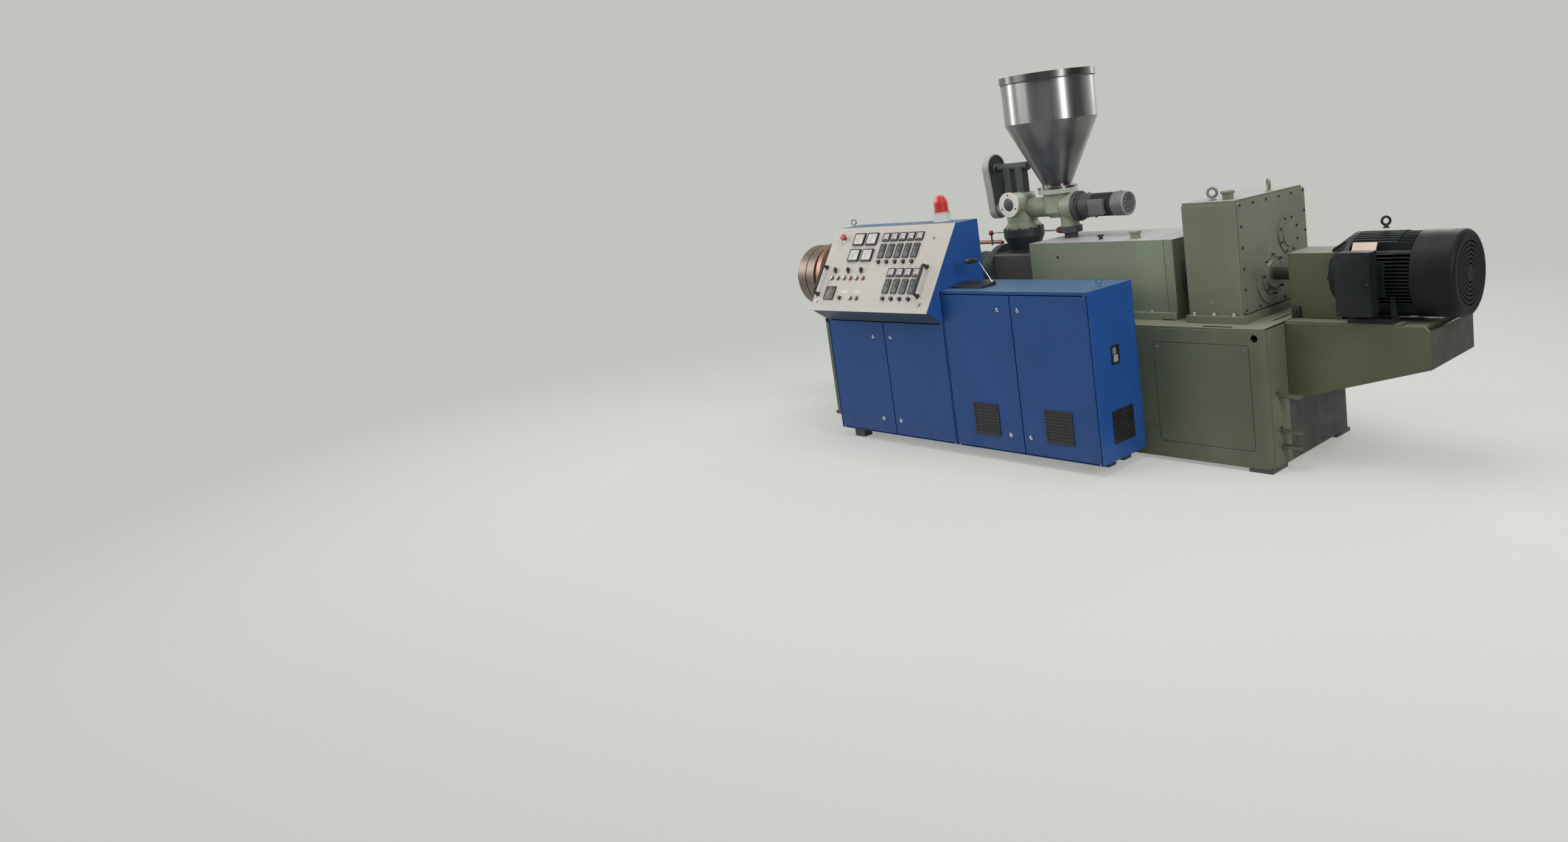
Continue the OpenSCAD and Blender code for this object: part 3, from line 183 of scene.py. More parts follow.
def paint(name, colour, rough=0.42, vary=0.10, edge=0.35, worn_lit_edge_colour=None, peel=0.10,
          peel_scale=260.0, radius=0.003, grime=0.25, cast=0.0, specular=0.5):
    """Sprayed or cast enamel with soft edges, mottling, dust near the floor and orange peel. Its edges are
    painted lighter, partly as wear and partly as a painted highlight where rounded edges catch light.
    """
    tree, bsdf = blank(name)
    coord = object_coord(tree)
    wide = noise(tree, coord, 2.3, 4.0)
    fine = noise(tree, coord, 34.0, 4.0)
    tone = blend(tree, remap(tree, wide, 0.30, 0.70), tinted(colour, 1 - vary * 1.6),
                 tinted(colour, 1 + vary, 0.004))
    tone = blend(tree, remap(tree, fine, 0.35, 0.65, 0.0, 0.30), tone, tinted(colour, 0.86))
    low = remap(tree, split(tree, coord)[2], DUST_TOP, 0.0)
    dust = sums(tree, "MULTIPLY", low, remap(tree, noise(tree, coord, 9.0, 5.0), 0.35, 0.75))
    tone = blend(tree, sums(tree, "MULTIPLY", dust, grime), tone, DUST)
    rounded = rounded_normal(tree, radius)
    # Lighter edges: partly wear, partly a painted highlight of rounded edges
    worn_and_lit_edges = remap(tree, noise(tree, coord, 22.0, 4.0), 0.30, 0.62, 0.35, 1.0)
    worn_and_lit_edges = sums(tree, "MULTIPLY", edge_mask(tree, rounded), worn_and_lit_edges)
    tone = blend(tree, sums(tree, "MULTIPLY", worn_and_lit_edges, edge), tone, worn_lit_edge_colour or tinted(colour, 1.55, 0.02))
    join(tone, bsdf.inputs["Base Color"])
    gloss = remap(tree, noise(tree, coord, 14.0, 5.0), 0.3, 0.7, rough - 0.06, rough + 0.08)
    join(gloss, bsdf.inputs["Roughness"])
    put(bsdf, {"Specular IOR Level": specular})
    bumps = relief(tree, noise(tree, coord, peel_scale, 2.0), peel, 0.0004, rounded)
    if cast:
        bumps = relief(tree, noise(tree, coord, 55.0, 5.0, 0.65), cast, 0.0016, bumps)
    join(bumps, bsdf.inputs["Normal"])


def steel(name, colour, rough=0.30, grain=(1.0, 1.0, 1.0), vary=0.12, metal=1.0, bump=0.06):
    """Bare metal with a directional grain."""
    tree, bsdf = blank(name)
    coord = object_coord(tree)
    lines = noise(tree, coord, 40.0, 4.0, 0.6, grain)
    stains = noise(tree, coord, 7.0, 5.0)
    tone = blend(tree, remap(tree, lines, 0.3, 0.7), tinted(colour, 1 - vary), colour)
    tone = blend(tree, remap(tree, stains, 0.45, 0.75, 0.0, 0.35), tone, tinted(colour, 0.62))
    join(tone, bsdf.inputs["Base Color"])
    put(bsdf, {"Metallic": metal})
    join(remap(tree, lines, 0.3, 0.7, rough - 0.07, rough + 0.09), bsdf.inputs["Roughness"])
    join(relief(tree, lines, bump, 0.0005, rounded_normal(tree, 0.0015)), bsdf.inputs["Normal"])


def stainless(name, colour, film):
    """Brushed sheet rolled into a hopper: upright grain, a little heat tint, and broad upright bands in the
    colour that are partly sheet variation and partly painted reflection bands.
    """
    tree, bsdf = blank(name)
    coord = object_coord(tree)
    fine = noise(tree, coord, 300.0, 3.0, 0.6, (1.0, 1.0, 0.02))
    sheet_and_reflection_bands = noise(tree, coord, 9.0, 2.0, 0.5, (1.0, 1.0, 0.04))
    heat = noise(tree, coord, 6.0, 3.0, 0.5, (1.0, 1.0, 0.15))
    # Broad upright bands: partly sheet variation, partly painted reflection bands
    tone = blend(tree, remap(tree, sheet_and_reflection_bands, 0.34, 0.66), tinted(colour, 0.72), tinted(colour, 1.30))
    tone = blend(tree, remap(tree, fine, 0.3, 0.7, 0.0, 0.10), tone, tinted(colour, 0.6))
    tone = blend(tree, remap(tree, heat, 0.52, 0.72, 0.0, 0.45), tone, HEAT_TINT)
    join(tone, bsdf.inputs["Base Color"])
    join(remap(tree, fine, 0.3, 0.7, 0.33, 0.40), bsdf.inputs["Roughness"])
    tangent = tree.nodes.new("ShaderNodeTangent")
    tangent.direction_type = "RADIAL"
    tangent.axis = "Z"
    join(tangent.outputs[0], bsdf.inputs["Tangent"])
    put(bsdf, {"Metallic": 1.0, "Anisotropic": 0.8, "Anisotropic Rotation": 0.25, "Sheen Weight": film,
               "Sheen Roughness": 0.35})


def plastic(name, colour, rough=0.45, bump=0.12, coat=0.0, vary=0.15):
    """Moulded plastic with a fine grain."""
    tree, bsdf = blank(name)
    coord = object_coord(tree)
    patch = noise(tree, coord, 18.0, 4.0)
    tone = blend(tree, remap(tree, patch, 0.3, 0.7), tinted(colour, 1 - vary),
                 tinted(colour, 1 + vary, 0.004))
    join(tone, bsdf.inputs["Base Color"])
    join(remap(tree, patch, 0.3, 0.7, rough - 0.05, rough + 0.06), bsdf.inputs["Roughness"])
    put(bsdf, {"Coat Weight": coat})
    grain = noise(tree, coord, 900.0, 2.0)
    join(relief(tree, grain, bump, 0.0002, rounded_normal(tree, 0.0012)), bsdf.inputs["Normal"])


def grille(name, colour, pitch=0.012, hole=0.0042):
    """Sheet with rows of small holes, painted near black as the shade seen through them."""
    tree, bsdf = blank(name)
    cells = tree.nodes.new("ShaderNodeTexVoronoi")
    put(cells, {"Scale": 1 / pitch, "Randomness": 0.0})
    join(stretched(tree, object_coord(tree), (0.0, 1.0, 1.0)), cells.inputs["Vector"])
    solid = remap(tree, cells.outputs["Distance"], hole / pitch * 0.85, hole / pitch * 1.1)
    join(blend(tree, solid, HOLE_SHADE, colour), bsdf.inputs["Base Color"])
    put(bsdf, {"Roughness": 0.5, "Specular IOR Level": 0.15})
    join(relief(tree, solid, 0.5, 0.001), bsdf.inputs["Normal"])


SAGE = (0.112, 0.124, 0.080)
SAGE_LIGHT = (0.166, 0.200, 0.138)
BLUE = (0.0085, 0.050, 0.185)

paint("base", (0.076, 0.088, 0.052), rough=0.46, vary=0.10, radius=0.004)
paint("gear", SAGE, rough=0.44, vary=0.08, radius=0.004)
paint("gear_grey", (0.112, 0.124, 0.090), rough=0.40, vary=0.12)
paint("dist", SAGE_LIGHT, rough=0.40, vary=0.07)
paint("casting", (0.235, 0.268, 0.192), rough=0.45, vary=0.16, cast=0.35, edge=0.5)
paint("casting_pale", (0.32, 0.35, 0.29), rough=0.5, vary=0.15, cast=0.3)
# A paler beige for the coupling guard's top: painted light
paint("guard_top_painted_light", (0.100, 0.096, 0.072), rough=0.5, vary=0.10)
paint("iron", (0.038, 0.045, 0.050), rough=0.52, vary=0.25, cast=0.55, edge=0.5,
      worn_lit_edge_colour=(0.11, 0.115, 0.12))
paint("motor", (0.0085, 0.0115, 0.0120), rough=0.46, vary=0.25, cast=0.25, edge=0.40,
      worn_lit_edge_colour=(0.05, 0.055, 0.06), specular=0.22)
paint("cowl", (0.0080, 0.0092, 0.0100), rough=0.50, vary=0.12, peel=0.06, edge=0.3,
      worn_lit_edge_colour=(0.05, 0.053, 0.056), specular=0.12)
# The blue's light edge colour is partly wear and partly a painted highlight along the doors' edges
paint("blue", BLUE, rough=0.40, vary=0.06, peel=0.16, peel_scale=420.0, grime=0.15, edge=0.45,
      worn_lit_edge_colour=(0.06, 0.15, 0.38), radius=0.0025, specular=0.30)
# The desk's underside is painted a darker blue: painted shade under the desk
paint("blue_underside_painted_shade", (0.022, 0.038, 0.070), rough=0.45, vary=0.06)
paint("panel", (0.350, 0.331, 0.303), rough=0.50, vary=0.03, peel=0.10, grime=0.0, edge=0.25, radius=0.0015,
      specular=0.35)
paint("bracket", (0.069, 0.075, 0.038), rough=0.46, vary=0.10, radius=0.004, specular=0.4)
paint("block", (0.135, 0.128, 0.118), rough=0.50, vary=0.2, cast=0.5, edge=0.5)
stainless("hopper", (0.315, 0.31, 0.31), 0.3)
# The cone's stainless is darker than the cylinder's: a painted reflection of the floor below it
stainless("hopper_cone", (0.205, 0.198, 0.194), 0.3)
stainless("hopper_rim", (0.15, 0.15, 0.15), 0.2)
# The base's motor end is painted dark: painted shade under the bracket
paint("base_motor_end_painted_shade", (0.028, 0.032, 0.028), rough=0.5, vary=0.14, radius=0.004)
# A lighter green for the strip painted on the base's motor end: painted light
paint("painted_light_green", (0.088, 0.098, 0.062), rough=0.5, vary=0.10)
# Painted shade: the bracket's motor end and the coupling behind its guard are painted dark
paint("painted_shade_dark_green", (0.034, 0.036, 0.024), rough=0.5, vary=0.12, specular=0.3)
# Cabinet tops painted a lighter blue: painted light on the tops
paint("blue_top_painted_light", (0.038, 0.090, 0.170), rough=0.46, vary=0.06, grime=0.0, edge=0.45,
      worn_lit_edge_colour=(0.08, 0.19, 0.40))
steel("galvanised", (0.42, 0.43, 0.43), rough=0.42, metal=0.7, grain=(1.0, 1.0, 14.0))
steel("steel", (0.50, 0.50, 0.50), rough=0.28, grain=(14.0, 1.0, 1.0))
steel("bolt", (0.36, 0.36, 0.35), rough=0.36, metal=0.9)
paint("bolt_green", (0.105, 0.12, 0.085), rough=0.42, vary=0.15)
paint("bolt_dark", (0.02, 0.022, 0.024), rough=0.4, vary=0.2)
steel("chrome", (0.78, 0.78, 0.80), rough=0.14, vary=0.04, bump=0.0)
steel("heater", (0.46, 0.44, 0.41), rough=0.46, metal=0.8)
steel("heater_brown", (0.24, 0.185, 0.150), rough=0.42, metal=0.8, vary=0.3)
steel("copper", (0.36, 0.21, 0.14), rough=0.42, metal=0.85, vary=0.35)
plastic("black", (0.012, 0.012, 0.013), rough=0.42)
plastic("grip", (0.016, 0.017, 0.017), rough=0.6, bump=0.3)
plastic("red", (0.42, 0.022, 0.022), rough=0.28, coat=0.6, vary=0.08)
plastic("white", (0.52, 0.51, 0.49), rough=0.42, vary=0.05)
plastic("grey", (0.24, 0.25, 0.25), rough=0.45, vary=0.08)
plastic("green_cap", (0.20, 0.27, 0.19), rough=0.42, vary=0.12)
paint("port", (0.58, 0.56, 0.51), rough=0.5, vary=0.08, cast=0.1, edge=0.2)
plastic("dial", (0.36, 0.36, 0.33), rough=0.5, vary=0.06)
plastic("screen", (0.016, 0.022, 0.020), rough=0.45, coat=0.1)
plastic("screen_red", (0.16, 0.020, 0.020), rough=0.40, coat=0.1)
plastic("ink", (0.02, 0.02, 0.02), rough=0.5)
plastic("cover", (0.40, 0.40, 0.37), rough=0.5, vary=0.05)
plastic("dial_pink", (0.33, 0.30, 0.32), rough=0.45, vary=0.06)
plastic("controller", (0.055, 0.062, 0.060), rough=0.5, vary=0.1)
plastic("key_green", (0.085, 0.115, 0.100), rough=0.5, vary=0.1)
plastic("ring_grey", (0.42, 0.40, 0.39), rough=0.4, vary=0.08)
plastic("red_dull", (0.36, 0.075, 0.085), rough=0.35, coat=0.3, vary=0.08)
plastic("button_green", (0.34, 0.36, 0.31), rough=0.35, coat=0.3, vary=0.1)
plastic("bezel", (0.10, 0.09, 0.09), rough=0.4)
plastic("stop_red", (0.27, 0.018, 0.028), rough=0.5, vary=0.06)
plastic("panel_line", (0.36, 0.34, 0.33), rough=0.5, vary=0.05)
paint("bolt_pale", (0.26, 0.29, 0.24), rough=0.45, vary=0.15)
plastic("teal", (0.10, 0.22, 0.19), rough=0.4)
plastic("seam", (0.05, 0.052, 0.05), rough=0.6)
steel("bare_copper", (0.44, 0.345, 0.29), rough=0.45, grain=(10.0, 1.0, 1.0), metal=0.3)
plastic("lens", (0.055, 0.056, 0.062), rough=0.3, coat=0.4)
paint("guard_rim", (0.30, 0.315, 0.275), rough=0.5, vary=0.10, grime=0.0)
paint("belt_face", (0.030, 0.042, 0.038), rough=0.42, vary=0.25)
paint("mottled", (0.052, 0.050, 0.050), rough=0.5, vary=0.35, cast=0.5, specular=0.3)
paint("drive_box", (0.098, 0.092, 0.100), rough=0.5, vary=0.2, cast=0.2)
paint("drive_cowl", (0.125, 0.119, 0.130), rough=0.42, vary=0.3, grime=0.0)
paint("drive_rim", (0.22, 0.21, 0.205), rough=0.42, vary=0.2, grime=0.0)
paint("cap_pale", (0.245, 0.262, 0.200), rough=0.45, vary=0.15, grime=0.0)
paint("cap_dark", (0.145, 0.155, 0.105), rough=0.45, vary=0.15, grime=0.0)
plastic("fan_end", (0.040, 0.037, 0.048), rough=0.5)
# Top colours painted paler than the sides: painted light and sheen on the tops
paint("base_top_painted_light", (0.155, 0.165, 0.115), rough=0.5, vary=0.12, grime=0.0)
paint("dist_top", (0.30, 0.295, 0.305), rough=0.42, vary=0.10, grime=0.0)
paint("gear_top_painted_light", (0.24, 0.25, 0.24), rough=0.45, vary=0.10, grime=0.0)
# The same blue paint made brighter for the +X sides: painted light
paint("blue_side_painted_light", (0.0115, 0.066, 0.245), rough=0.40, vary=0.06, peel=0.16, peel_scale=420.0, grime=0.15,
      edge=0.45, worn_lit_edge_colour=(0.06, 0.15, 0.38), radius=0.0025, specular=0.30)
paint("collar", (0.034, 0.040, 0.044), rough=0.5, vary=0.25, cast=0.5, edge=0.4, specular=0.3)
grille("perforated", (0.006, 0.0065, 0.0080))


# Directions, the machine's axis and its motor's height
UP, OUT, ALONG_X = (0, 0, 1), (0, -1, 0), (1, 0, 0)
AXIS_Y, SHAFT_Z = 880, 1025
# Edges that turn more than this many degrees stay sharp
SHARP = 32.0
CUBE = [(0, 2, 3, 1), (4, 5, 7, 6), (0, 1, 5, 4), (2, 6, 7, 3), (0, 4, 6, 2), (1, 3, 7, 5)]


def circle(centre, radius, count, start=0.0):
    """Points spaced evenly on a circle."""
    angles = [radians(360 / count * i + start) for i in range(count)]
    return [(centre[0] + radius * cos(a), centre[1] + radius * sin(a)) for a in angles]


def sides(axis):
    """A direction, and two square to it."""
    axis = Vector(axis).normalized()
    side = axis.orthogonal().normalized()
    return axis, side, axis.cross(side)


class Kit:
    """Small solids of one material that ride on one body, collected into one object.
    Their sizes are machine millimetres, or a local frame's when one is given."""

    def __init__(self, name, mat, slot, body="machine", local=None):
        self.name, self.mat, self.body, self.slot, self.local = name, mat, body, slot, local
        self.bm = bmesh.new()

    def add(self, verts, faces):
        made = [self.bm.verts.new(v) for v in verts]
        for face in faces:
            try:
                self.bm.faces.new([made[i] for i in face])
            except ValueError:
                pass
        return self

    def box(self, lo, hi, chamfer=0.0):
        """Block between two corners."""
        x0, y0, z0 = lo
        x1, y1, z1 = hi
        if chamfer <= 0:
            verts = [(x, y, z) for z in (z0, z1) for y in (y0, y1) for x in (x0, x1)]
            return self.add(verts, CUBE)
        part = bmesh.new()
        bmesh.ops.create_cube(part, size=1.0)
        for v in part.verts:
            v.co = Vector(((x0 + x1) / 2 + v.co.x * (x1 - x0), (y0 + y1) / 2 + v.co.y * (y1 - y0),
                           (z0 + z1) / 2 + v.co.z * (z1 - z0)))
        bmesh.ops.bevel(part, geom=list(part.edges), offset=chamfer, segments=2, profile=0.6, affect="EDGES")
        part.verts.index_update()
        self.add([v.co.copy() for v in part.verts], [[v.index for v in f.verts] for f in part.faces])
        part.free()
        return self

    def turn(self, origin, axis, profile, seg=24):
        """Revolves [(radius, height)] about an axis."""
        axis, side, other = sides(axis)
        origin = Vector(origin)
        verts, rings = [], []
        for r, h in profile:
            if r <= 1e-6:
                rings.append([len(verts)])
                verts.append(origin + axis * h)
            else:
                rings.append(list(range(len(verts), len(verts) + seg)))
                for i in range(seg):
                    a = 2 * pi * i / seg
                    verts.append(origin + axis * h + side * (r * cos(a)) + other * (r * sin(a)))
        faces = []
        for a, b in zip(rings, rings[1:]):
            for i in range(seg):
                j = (i + 1) % seg
                if len(a) == 1 and len(b) == 1:
                    continue
                if len(a) == 1:
                    faces.append((a[0], b[j], b[i]))
                elif len(b) == 1:
                    faces.append((a[i], a[j], b[0]))
                else:
                    faces.append((a[i], a[j], b[j], b[i]))
        return self.add(verts, faces)

    def disc(self, origin, axis, r, h, seg=24):
        edge = min(r, h) * 0.18
        return self.turn(origin, axis, [(0, 0), (r, 0), (r, h - edge), (r - edge, h), (0, h)], seg)

    def bolt(self, origin, axis, r, h):
        """Hexagon head on a washer."""
        base = 1.6
        self.turn(origin, axis, [(0, 0), (r * 1.28, 0), (r * 1.28, base), (0, base)], 16)
        return self.turn(origin, axis, [(0, base), (r, base), (r, base + h * 0.82), (r * 0.84, base + h),
                                        (0, base + h)], 6)

    def socket_bolt(self, origin, axis, r, h):
        return self.turn(origin, axis, [(0, 0), (r, 0), (r, h * 0.85), (r * 0.88, h), (r * 0.5, h),
                                        (r * 0.46, h * 0.35), (0, h * 0.35)], 14)

    def ring(self, origin, axis, big, small, seg, tube):
        axis, side, other = sides(axis)
        verts, faces = [], []
        for i in range(seg):
            a = 2 * pi * i / seg
            out = side * cos(a) + other * sin(a)
            for j in range(tube):
                b = 2 * pi * j / tube
                verts.append(Vector(origin) + out * (big + small * cos(b)) + axis * (small * sin(b)))
                k, m = (i + 1) % seg, (j + 1) % tube
                faces.append((i * tube + j, k * tube + j, k * tube + m, i * tube + m))
        return self.add(verts, faces)

    def ball(self, origin, r, seg=18):
        half = seg // 2
        angles = [pi * i / half for i in range(half + 1)]
        return self.turn(origin, UP, [(r * sin(a) if 0 < a < pi else 0.0, -r * cos(a)) for a in angles], seg)

    def sweep(self, points, r, seg=12):
        """Round bar along a line of points."""
        pts = [Vector(p) for p in points]
        verts, faces = [], []
        normal = (pts[1] - pts[0]).normalized().orthogonal().normalized()
        for i, p in enumerate(pts):
            ahead = pts[min(i + 1, len(pts) - 1)] - pts[max(i - 1, 0)]
            ahead.normalize()
            normal = (normal - ahead * normal.dot(ahead)).normalized()
            other = ahead.cross(normal)
            for j in range(seg):
                a = 2 * pi * j / seg
                verts.append(p + normal * (r * cos(a)) + other * (r * sin(a)))
        for i in range(len(pts) - 1):
            for j in range(seg):
                k = (j + 1) % seg
                faces.append((i * seg + j, i * seg + k, (i + 1) * seg + k, (i + 1) * seg + j))
        faces.append(tuple(reversed(range(seg))))
        faces.append(tuple(range((len(pts) - 1) * seg, len(pts) * seg)))
        return self.add(verts, faces)

    def prism(self, outline, start, end, plane="yz"):
        """Extrudes a closed outline of a plane between two distances along the third axis."""
        n = len(outline)
        verts = [(c, a, b) if plane == "yz" else (a, b, c) for c in (start, end) for a, b in outline]
        faces = [tuple(range(n)), tuple(reversed(range(n, 2 * n)))]
        faces += [(i, (i + 1) % n, n + (i + 1) % n, n + i) for i in range(n)]
        return self.add(verts, faces)

    def strip(self, a, b, width, low, high):
        """Flat bar between two points of the xy plane."""
        run = Vector((b[0] - a[0], b[1] - a[1]))
        side = Vector((-run.y, run.x)).normalized() * (width / 2)
        outline = [(a[0] + side.x, a[1] + side.y), (a[0] - side.x, a[1] - side.y),
                   (b[0] - side.x, b[1] - side.y), (b[0] + side.x, b[1] + side.y)]
        return self.prism(outline, low, high, "xy")

    def done(self, bevel=0.0):
        bm = self.bm
        for v in bm.verts:
            v.co = at(*(self.local @ v.co if self.local else v.co))
        bmesh.ops.recalc_face_normals(bm, faces=bm.faces)
        for f in bm.faces:
            f.smooth = True
        for e in bm.edges:
            if len(e.link_faces) == 2 and e.calc_face_angle(0.0) > radians(SHARP):
                e.smooth = False
        mesh = bpy.data.meshes.new(self.name)
        bm.to_mesh(mesh)
        bm.free()
        mesh.materials.append(M[self.mat])
        made = bpy.data.objects.new(self.name, mesh)
        bpy.context.scene.collection.objects.link(made)
        if bevel:
            mod = made.modifiers.new("edges", "BEVEL")
            mod.width = bevel / MM
            mod.segments = 2
            mod.limit_method = "ANGLE"
        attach(made, self.body)
        return made


def dress(name, mats, choose=None):
    """Gives a CAD node one material, or its faces one of several, chosen by their middle and normal."""
    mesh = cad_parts[name].data
    mesh.materials.clear()
    for mat in mats:
        mesh.materials.append(M[mat])
    if choose:
        for face in mesh.polygons:
            face.material_index = int(choose(mm(face.center), face.normal))


# Camera, as in the photograph
PHOTO_W, PHOTO_H, SENSOR = 2576, 1384, 36.0
YAW, PITCH, ROLL = 0.832872763, -0.174363081, -0.127732339
FOCAL, CENTRE_U, CENTRE_V = 1801.13288, 1500.0, 559.87
CAMERA_AT = at(6085.27, -4750.72, 1981.17)
ahead = Vector((-sin(YAW) * cos(PITCH), cos(YAW) * cos(PITCH), sin(PITCH)))
level = Vector((cos(YAW), sin(YAW), 0.0))
above = level.cross(ahead)
right = level * cos(ROLL) + above * sin(ROLL)
up = -level * sin(ROLL) + above * cos(ROLL)
cam_data = bpy.data.cameras.new("camera")
cam = bpy.data.objects.new("camera", cam_data)
bpy.context.scene.collection.objects.link(cam)
cam.matrix_world = Matrix.Translation(CAMERA_AT) @ Matrix((right, up, -ahead)).transposed().to_4x4()
cam_data.sensor_width = SENSOR
cam_data.lens = FOCAL / PHOTO_W * SENSOR
cam_data.shift_x = (PHOTO_W / 2 - CENTRE_U) / PHOTO_W
cam_data.shift_y = (CENTRE_V - PHOTO_H / 2) / PHOTO_W
cam_data.clip_end = 200
bpy.context.scene.camera = cam

# CAD nodes of one material
for mat, names in {
    "iron": "base_pads shaft_bell feeder_foot agitator_drive barrel die_adapter cabinet_feet",
    "base": "base_covers coupling_guard",
    "motor": "motor_housing cable_box",
    "cowl": "fan_cowl",
    # The coupling is painted dark green: painted shade behind its guard
    "painted_shade_dark_green": "coupling",
    "gear_grey": "gearbox_end_cover",
    "green_cap": "oil_fittings",
    "port": "feeder_port",
    "grey": "feeder_gearmotor",
    # The hopper cone takes the darker stainless, a painted reflection of the floor
    "hopper_cone": "hopper_cone",
    "heater": "barrel_heaters",
    "galvanised": "cooling_ducts mounting_plates",
    "copper": "cooling_pipe die_body",
    "heater_brown": "die_heaters",
    "blue": "cabinet_floor cabinet_back cabinet_posts door_1 door_2 door_3 door_4",
    "blue_underside_painted_shade": "desk_underside",
    "steel": "hinge_pins",
    "panel": "desk_panel",
    "grip": "grab_handles",
    "black": "panel_meters hand_lever side_vent door_3_vent door_4_vent",
}.items():
    for name in names.split():
        dress(name, (mat,))

# Instruments on the sloped panel, in its own frame: x along it, y up it, z out of it
PANEL = Matrix.Translation((0, -137, 955)) @ Matrix.Rotation(atan2(515, 346), 4, "X")
FACE = 4.0
VOLT_X, VOLT_Y = (287, 421), (405, 525)
ZONE_X = [560 + 81.5 * i for i in range(6)]
ROWS = ((ZONE_X[:5], 535, 433, 353), (ZONE_X[2:], 274, 176, 88))
PUSH_X, PUSH_Y = [126 + 65.8 * i for i in range(6)], 236
LAMP_X, LAMP_Y = (392, 457), 88
MODE_KNOB, STOP = (279, 88), (126, 537)
SWITCH_X, SWITCH_Y = (143, 280, 417), 284
LABEL_X, LABEL_Y = (307, 437), (121, 144)
DISPLAY_X, DISPLAY_Y = 158, 123
BORDER = [(60, 40), (1104, 34), (1104, 596), (46, 596)]
PLUG_AT, KEYHOLE_AT, BUTTON_AT = (36, 62), (1078, 55), (1024, 520)
HANDLES = ((30, 215), (1043, 211))
# Instrument cases: width, height, top, rim
METER, AMMETER, CONTROLLER, DISPLAY = (106, 89, 18, 8), (66, 60, 14, 6), (54, 101, 13, 5), (98, 98, 14, 6)
# Profiles of round pieces
KNOB_RING = [(15, 0), (21.5, 0), (21.5, 1.2), (17, 1.8), (15, 1.8)]
BEZEL = [(11.5, 3.5), (17.5, 0), (17.5, 2.4), (15, 5.4), (11.5, 5.4)]
PUSH_CAP = [(0, 0), (9.6, 0), (9.6, 2.2), (8.4, 3.2), (0, 3.4)]
LAMP_CAP = [(0, 0), (9.8, 0), (9.6, 3.0), (7.2, 5.6), (0, 6.8)]
HANDLE_BAR = [(-102, 2), (-102, 34), (-100, 41), (-93, 45), (93, 45), (100, 41), (102, 34), (102, 2)]


def panel_kit(name, mat, slot):
    return Kit(name, mat, slot, local=PANEL)


frames = panel_kit("instrument_frames", "black", "black_plastic")
dials = panel_kit("meter_dials", "dial", "panel_grey")
covers = panel_kit("meter_covers", "cover", "panel_grey")
ink = panel_kit("meter_scales", "ink", "black_plastic")
small = panel_kit("small_meter_dials", "dial_pink", "panel_grey")
faces = panel_kit("controller_faces", "controller", "dark_grey")
windows = panel_kit("controller_windows", "screen", "black_plastic")
keys = panel_kit("controller_keys", "key_green", "dark_grey")
rings = panel_kit("control_rings", "ring_grey", "panel_grey")
red_caps = panel_kit("red_caps", "red_dull", "ball_red")
green_caps = panel_kit("green_caps", "button_green", "dark_green")
lines = panel_kit("panel_lines", "panel_line", "panel_grey")
metal = panel_kit("panel_locks", "bolt", "bare_steel")
bezels = panel_kit("button_bezels", "bezel", "dark_grey")


def scale(kit, centre, radius, first, last, ticks, size, low):
    """Arc of ticks with a line under them, as on a moving-pointer meter."""
    last_near = None
    for i in range(ticks):
        a = radians(first + (last - first) * i / (ticks - 1))
        reach = size * (1.6 if i % 5 == 0 else 1.0)
        near, far = [(centre[0] + r * cos(a), centre[1] + r * sin(a)) for r in (radius, radius + reach)]
        kit.strip(near, far, size * 0.22, low, low + 0.3)
        if last_near:
            kit.strip(last_near, near, size * 0.14, low, low + 0.3)
        last_near = near


def framed(x, y, w, h, top, rim):
    """Instrument case with a raised rim."""
    frames.box((x - w / 2, y - h / 2, FACE), (x + w / 2, y + h / 2, top - 2), 1.2)
    for a, b in (((-1, -1), (1, -1)), ((1, -1), (1, 1)), ((1, 1), (-1, 1)), ((-1, 1), (-1, -1))):
        ends = [(x + i * (w - rim) / 2, y + j * (h - rim) / 2) for i, j in (a, b)]
        frames.strip(*ends, rim, top - 2.2, top)
        u, v = ends[0]
        frames.strip((u - rim / 2, v), (u + rim / 2, v), rim, top - 2.2, top)


def knob_marks(x, y, mark, lamp):
    """Ring round a knob, the mark on it and its small red lamp."""
    rings.turn((x, y, FACE), UP, KNOB_RING, 28)
    rings.box((x - 1.2, y + 2, 22), (x + 1.2, y + mark, 22.6))
    red_caps.disc((x + 12, y - 14, FACE + 1.6), UP, lamp, 1.0, 12)


def button(x, y, kit, cap):
    bezels.turn((x, y, FACE), UP, BEZEL, 28)
    kit.turn((x, y, FACE + 9.8), UP, cap, 24)


